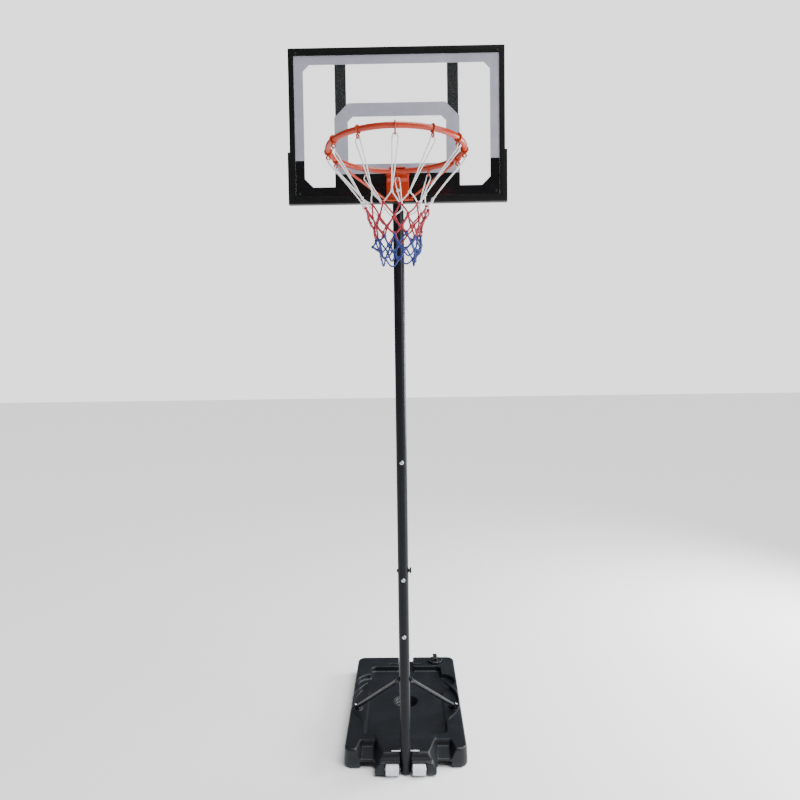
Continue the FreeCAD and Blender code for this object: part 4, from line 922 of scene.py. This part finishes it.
def make_net():
    """Twelve long white loops on the eyes, then rows of diamonds in white, red and blue."""
    count, twist, gather = 12, 0.13, 0.17
    thickness = {"white": 0.0021, "red": 0.0028, "blue": 0.0028}
    step = 2 * math.pi / count
    nodes = []
    for row, (height, reach, shift) in enumerate(NET_ROWS):
        loose = 0.002 + 0.0018 * row
        knots = []
        for i in range(count):
            angle = math.pi / 2 + step * (i + shift) + dice.uniform(-1, 1) * 0.05 - twist
            angle -= gather * max(0, row - 3) * math.sin(3 * angle - 1.2) / 3
            wide = reach + dice.uniform(-1, 1) * loose
            knots.append(Vector((ring_centre.x + wide * math.cos(angle),
                                 ring_centre.y + wide * math.sin(angle),
                                 height + dice.uniform(-1, 1) * loose)))
        nodes.append(knots)
    strands = {"white": [], "red": [], "blue": []}
    eye_drop = ring_tube + 0.011
    moved_aside = {2: 8, 10: -8}
    for i in range(count):
        angle = math.pi / 2 + step * i + math.radians(moved_aside.get(i, 0))
        out = Vector((math.cos(angle), math.sin(angle), 0))
        along = Vector((-math.sin(angle), math.cos(angle), 0))
        eye = Vector((ring_centre.x, ring_centre.y, ring_centre.z - eye_drop - 0.004)) + out * ring_radius
        foot = nodes[0][i]
        below = Vector((0, 0, 0.012))
        left, right = eye - along * 0.009 - below, eye + along * 0.009 - below
        loop = bow(foot, left, 0.002, -out * 0.004, 7)
        loop += [eye - along * 0.0055, eye + Vector((0, 0, 0.0015)), eye + along * 0.0055]
        loop += bow(right, foot, 0.002, -out * 0.004, 7)
        strands["white"].append(loop)
    colours = ["white", "red", "red", "red", "blue", "blue"]
    for row, colour in enumerate(colours):
        for i in range(count):
            a = nodes[row][i]
            away = Vector((a.x - ring_centre.x, a.y - ring_centre.y, 0))
            for other in (i - 1, i):
                b = nodes[row + 1][other % count]
                slack = dice.uniform(0, 0.003) + 0.0025 * (colour == "blue")
                strands[colour].append(bow(a, b, slack, away * dice.uniform(-0.05, 0.07), 6))
    last = nodes[-1]
    for i in range(count):
        a, b = last[i], last[(i + 1) % count]
        drop = dice.uniform(0.018, 0.032)
        strands["blue"].append(bow(a, b, drop, Vector((0, 0, 0)), 10))
    knots_by = {"white": nodes[0], "red": nodes[1] + nodes[2] + nodes[3],
                "blue": nodes[4] + nodes[5] + nodes[6]}
    for colour, places in knots_by.items():
        strands[colour] += [knot(p, 0.0036, dice.uniform(0, 6)) for p in places]
    for colour, cord in (("white", white_cord), ("red", red_cord), ("blue", blue_cord)):
        cord_piece("net_cords_" + colour, strands[colour], thickness[colour], cord,
                   ["net_" + colour])


# ------------------------------------------------------------------ making
make_camera()
hdpe = blow_moulded_hdpe()
cap_plastic = moulded_plastic("moulded_black_abs", "#101214", "#16181B", 0.36)
roller_plastic = moulded_plastic("moulded_white_polypropylene", "#C9CED6", "#E4E8EE", 0.36, 2.5, 0.1)
frame_plastic = moulded_plastic("satin_black_moulding", "#060708", "#0B0C0D", 0.34, level=0.3)
black_plastic = moulded_plastic("black_nylon", "#0C0D0E", "#121315", 0.45)
rubber = moulded_plastic("black_rubber", "#0E0E0E", "#141414", 0.7, 1.5, 0.1)
water = moulded_plastic("still_water", "#9FB4BC", "#B4C6CC", 0.1)
pole_paint = powder_coat("charcoal_powder_coat", "#101217", "#15171C", 0.3, rub=0.03, level=0.18)
strut_paint = powder_coat("strut_powder_coat", "#14161B", "#1B1D23", 0.34, rub=0.05, level=0.15)
black_steel = powder_coat("black_powder_coat", "#060708", "#0B0B0C", 0.36, rub=0.03, level=0.3)
rim_paint = powder_coat("orange_powder_coat", "#A42A08", "#B03410", 0.27, 0.9, "#D07050", 0.12)
zinc = zinc_plate()
clear_sheet = clear_polycarbonate()
grey_ink = screen_print("grey_screen_print", "#9C9DAA", "#A8A9B6", 0.3)
black_ink = screen_print("black_screen_print", "#08080A", "#0D0D10", 0.16)
white_cord = braided_cord("white_braided_polyester", "#B9BBBE", "#F2F2F2")
red_cord = braided_cord("red_braided_polyester", "#6A0418", "#B00E30")
blue_cord = braided_cord("blue_braided_polyester", "#08124A", "#14308C")

# Nodes whose own mesh stays, with the finish of each.
KEPT = {
    "cap_seal": rubber, "axle_left": zinc, "axle_right": zinc,
    "strut_left": strut_paint, "strut_right": strut_paint, "lower_pole": pole_paint,
    "inner_pole": pole_paint, "middle_pole": pole_paint, "top_pole": pole_paint, "pole_pin": zinc,
    "pole_foot_plug": black_plastic, "pole_top_plug": black_plastic, "guide_bush": black_plastic,
    "clamp_nut": black_steel, "board_panel": clear_sheet, "border_print": grey_ink,
    "target_print": grey_ink, "lower_print": black_ink, "back_bar_left": black_steel,
    "back_bar_right": black_steel, "cross_strap_lower": black_steel, "cross_strap_upper": black_steel,
    "pole_saddles": black_plastic, "u_bolts": zinc, "strap_rivets": black_steel,
    "rim_ring": rim_paint, "brace_rod_left": rim_paint, "brace_rod_right": rim_paint,
    "net_clips": rim_paint,
}
for node, material in KEPT.items():
    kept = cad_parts[node]
    kept.data.materials.clear()
    kept.data.materials.append(material)

panel_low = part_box("board_panel")[0]
rail_low, rail_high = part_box("frame_top_rail")
opening_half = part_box("border_print")[1].x
pole_radius = (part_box("top_pole")[1].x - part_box("top_pole")[0].x) / 2

make_tank()
make_filler_cap()
make_rollers()
make_frame()
make_bracket()
make_fixings()
make_net()

# ------------------------------------------------------------------ stage
reach = 30
floor_mesh = bpy.data.meshes.new("floor")
floor_mesh.from_pydata([(-reach, -reach, 0), (reach, -reach, 0), (reach, reach, 0), (-reach, reach, 0)],
                       [], [(0, 1, 2, 3)])
floor = bpy.data.objects.new("floor", floor_mesh)
bpy.context.scene.collection.objects.link(floor)
floor.data.materials.append(studio_paper())

world = bpy.data.worlds.new("studio")
bpy.context.scene.world = world
world.use_nodes = True
room_tree = world.node_tree
# The backdrop shows brighter than the room light that falls on the hoop.
seen = add(room_tree, "ShaderNodeLightPath")
glow = add(room_tree, "ShaderNodeMapRange", {"To Min": 0.16, "To Max": 2.0}, {"Value": seen["Is Camera Ray"]})
backdrop = room_tree.nodes["Background"]
backdrop.inputs["Color"].default_value = (1, 1, 1, 1)
room_tree.links.new(glow["Result"], backdrop.inputs["Strength"])
sun_data = bpy.data.lights.new("overhead_sun", "SUN")
sun_data.energy, sun_data.angle = 4.6, math.radians(50)
sun = bpy.data.objects.new("overhead_sun", sun_data)
bpy.context.scene.collection.objects.link(sun)
sun.rotation_euler = Vector((-0.35, 0.15, -1)).to_track_quat("-Z", "Y").to_euler()
area_light("side", (3.2, 0.9, 1.6), (0, 0, 0.3), (1.6, 1.2), 160)
area_light("key", (3.2, -2.6, 2.8), (0, 0, 1.8), (1.0, 2.0), 80)
area_light("low", (2.2, -1.0, 0.6), (0.0, -0.1, 0), (0.5, 0.4), 12)
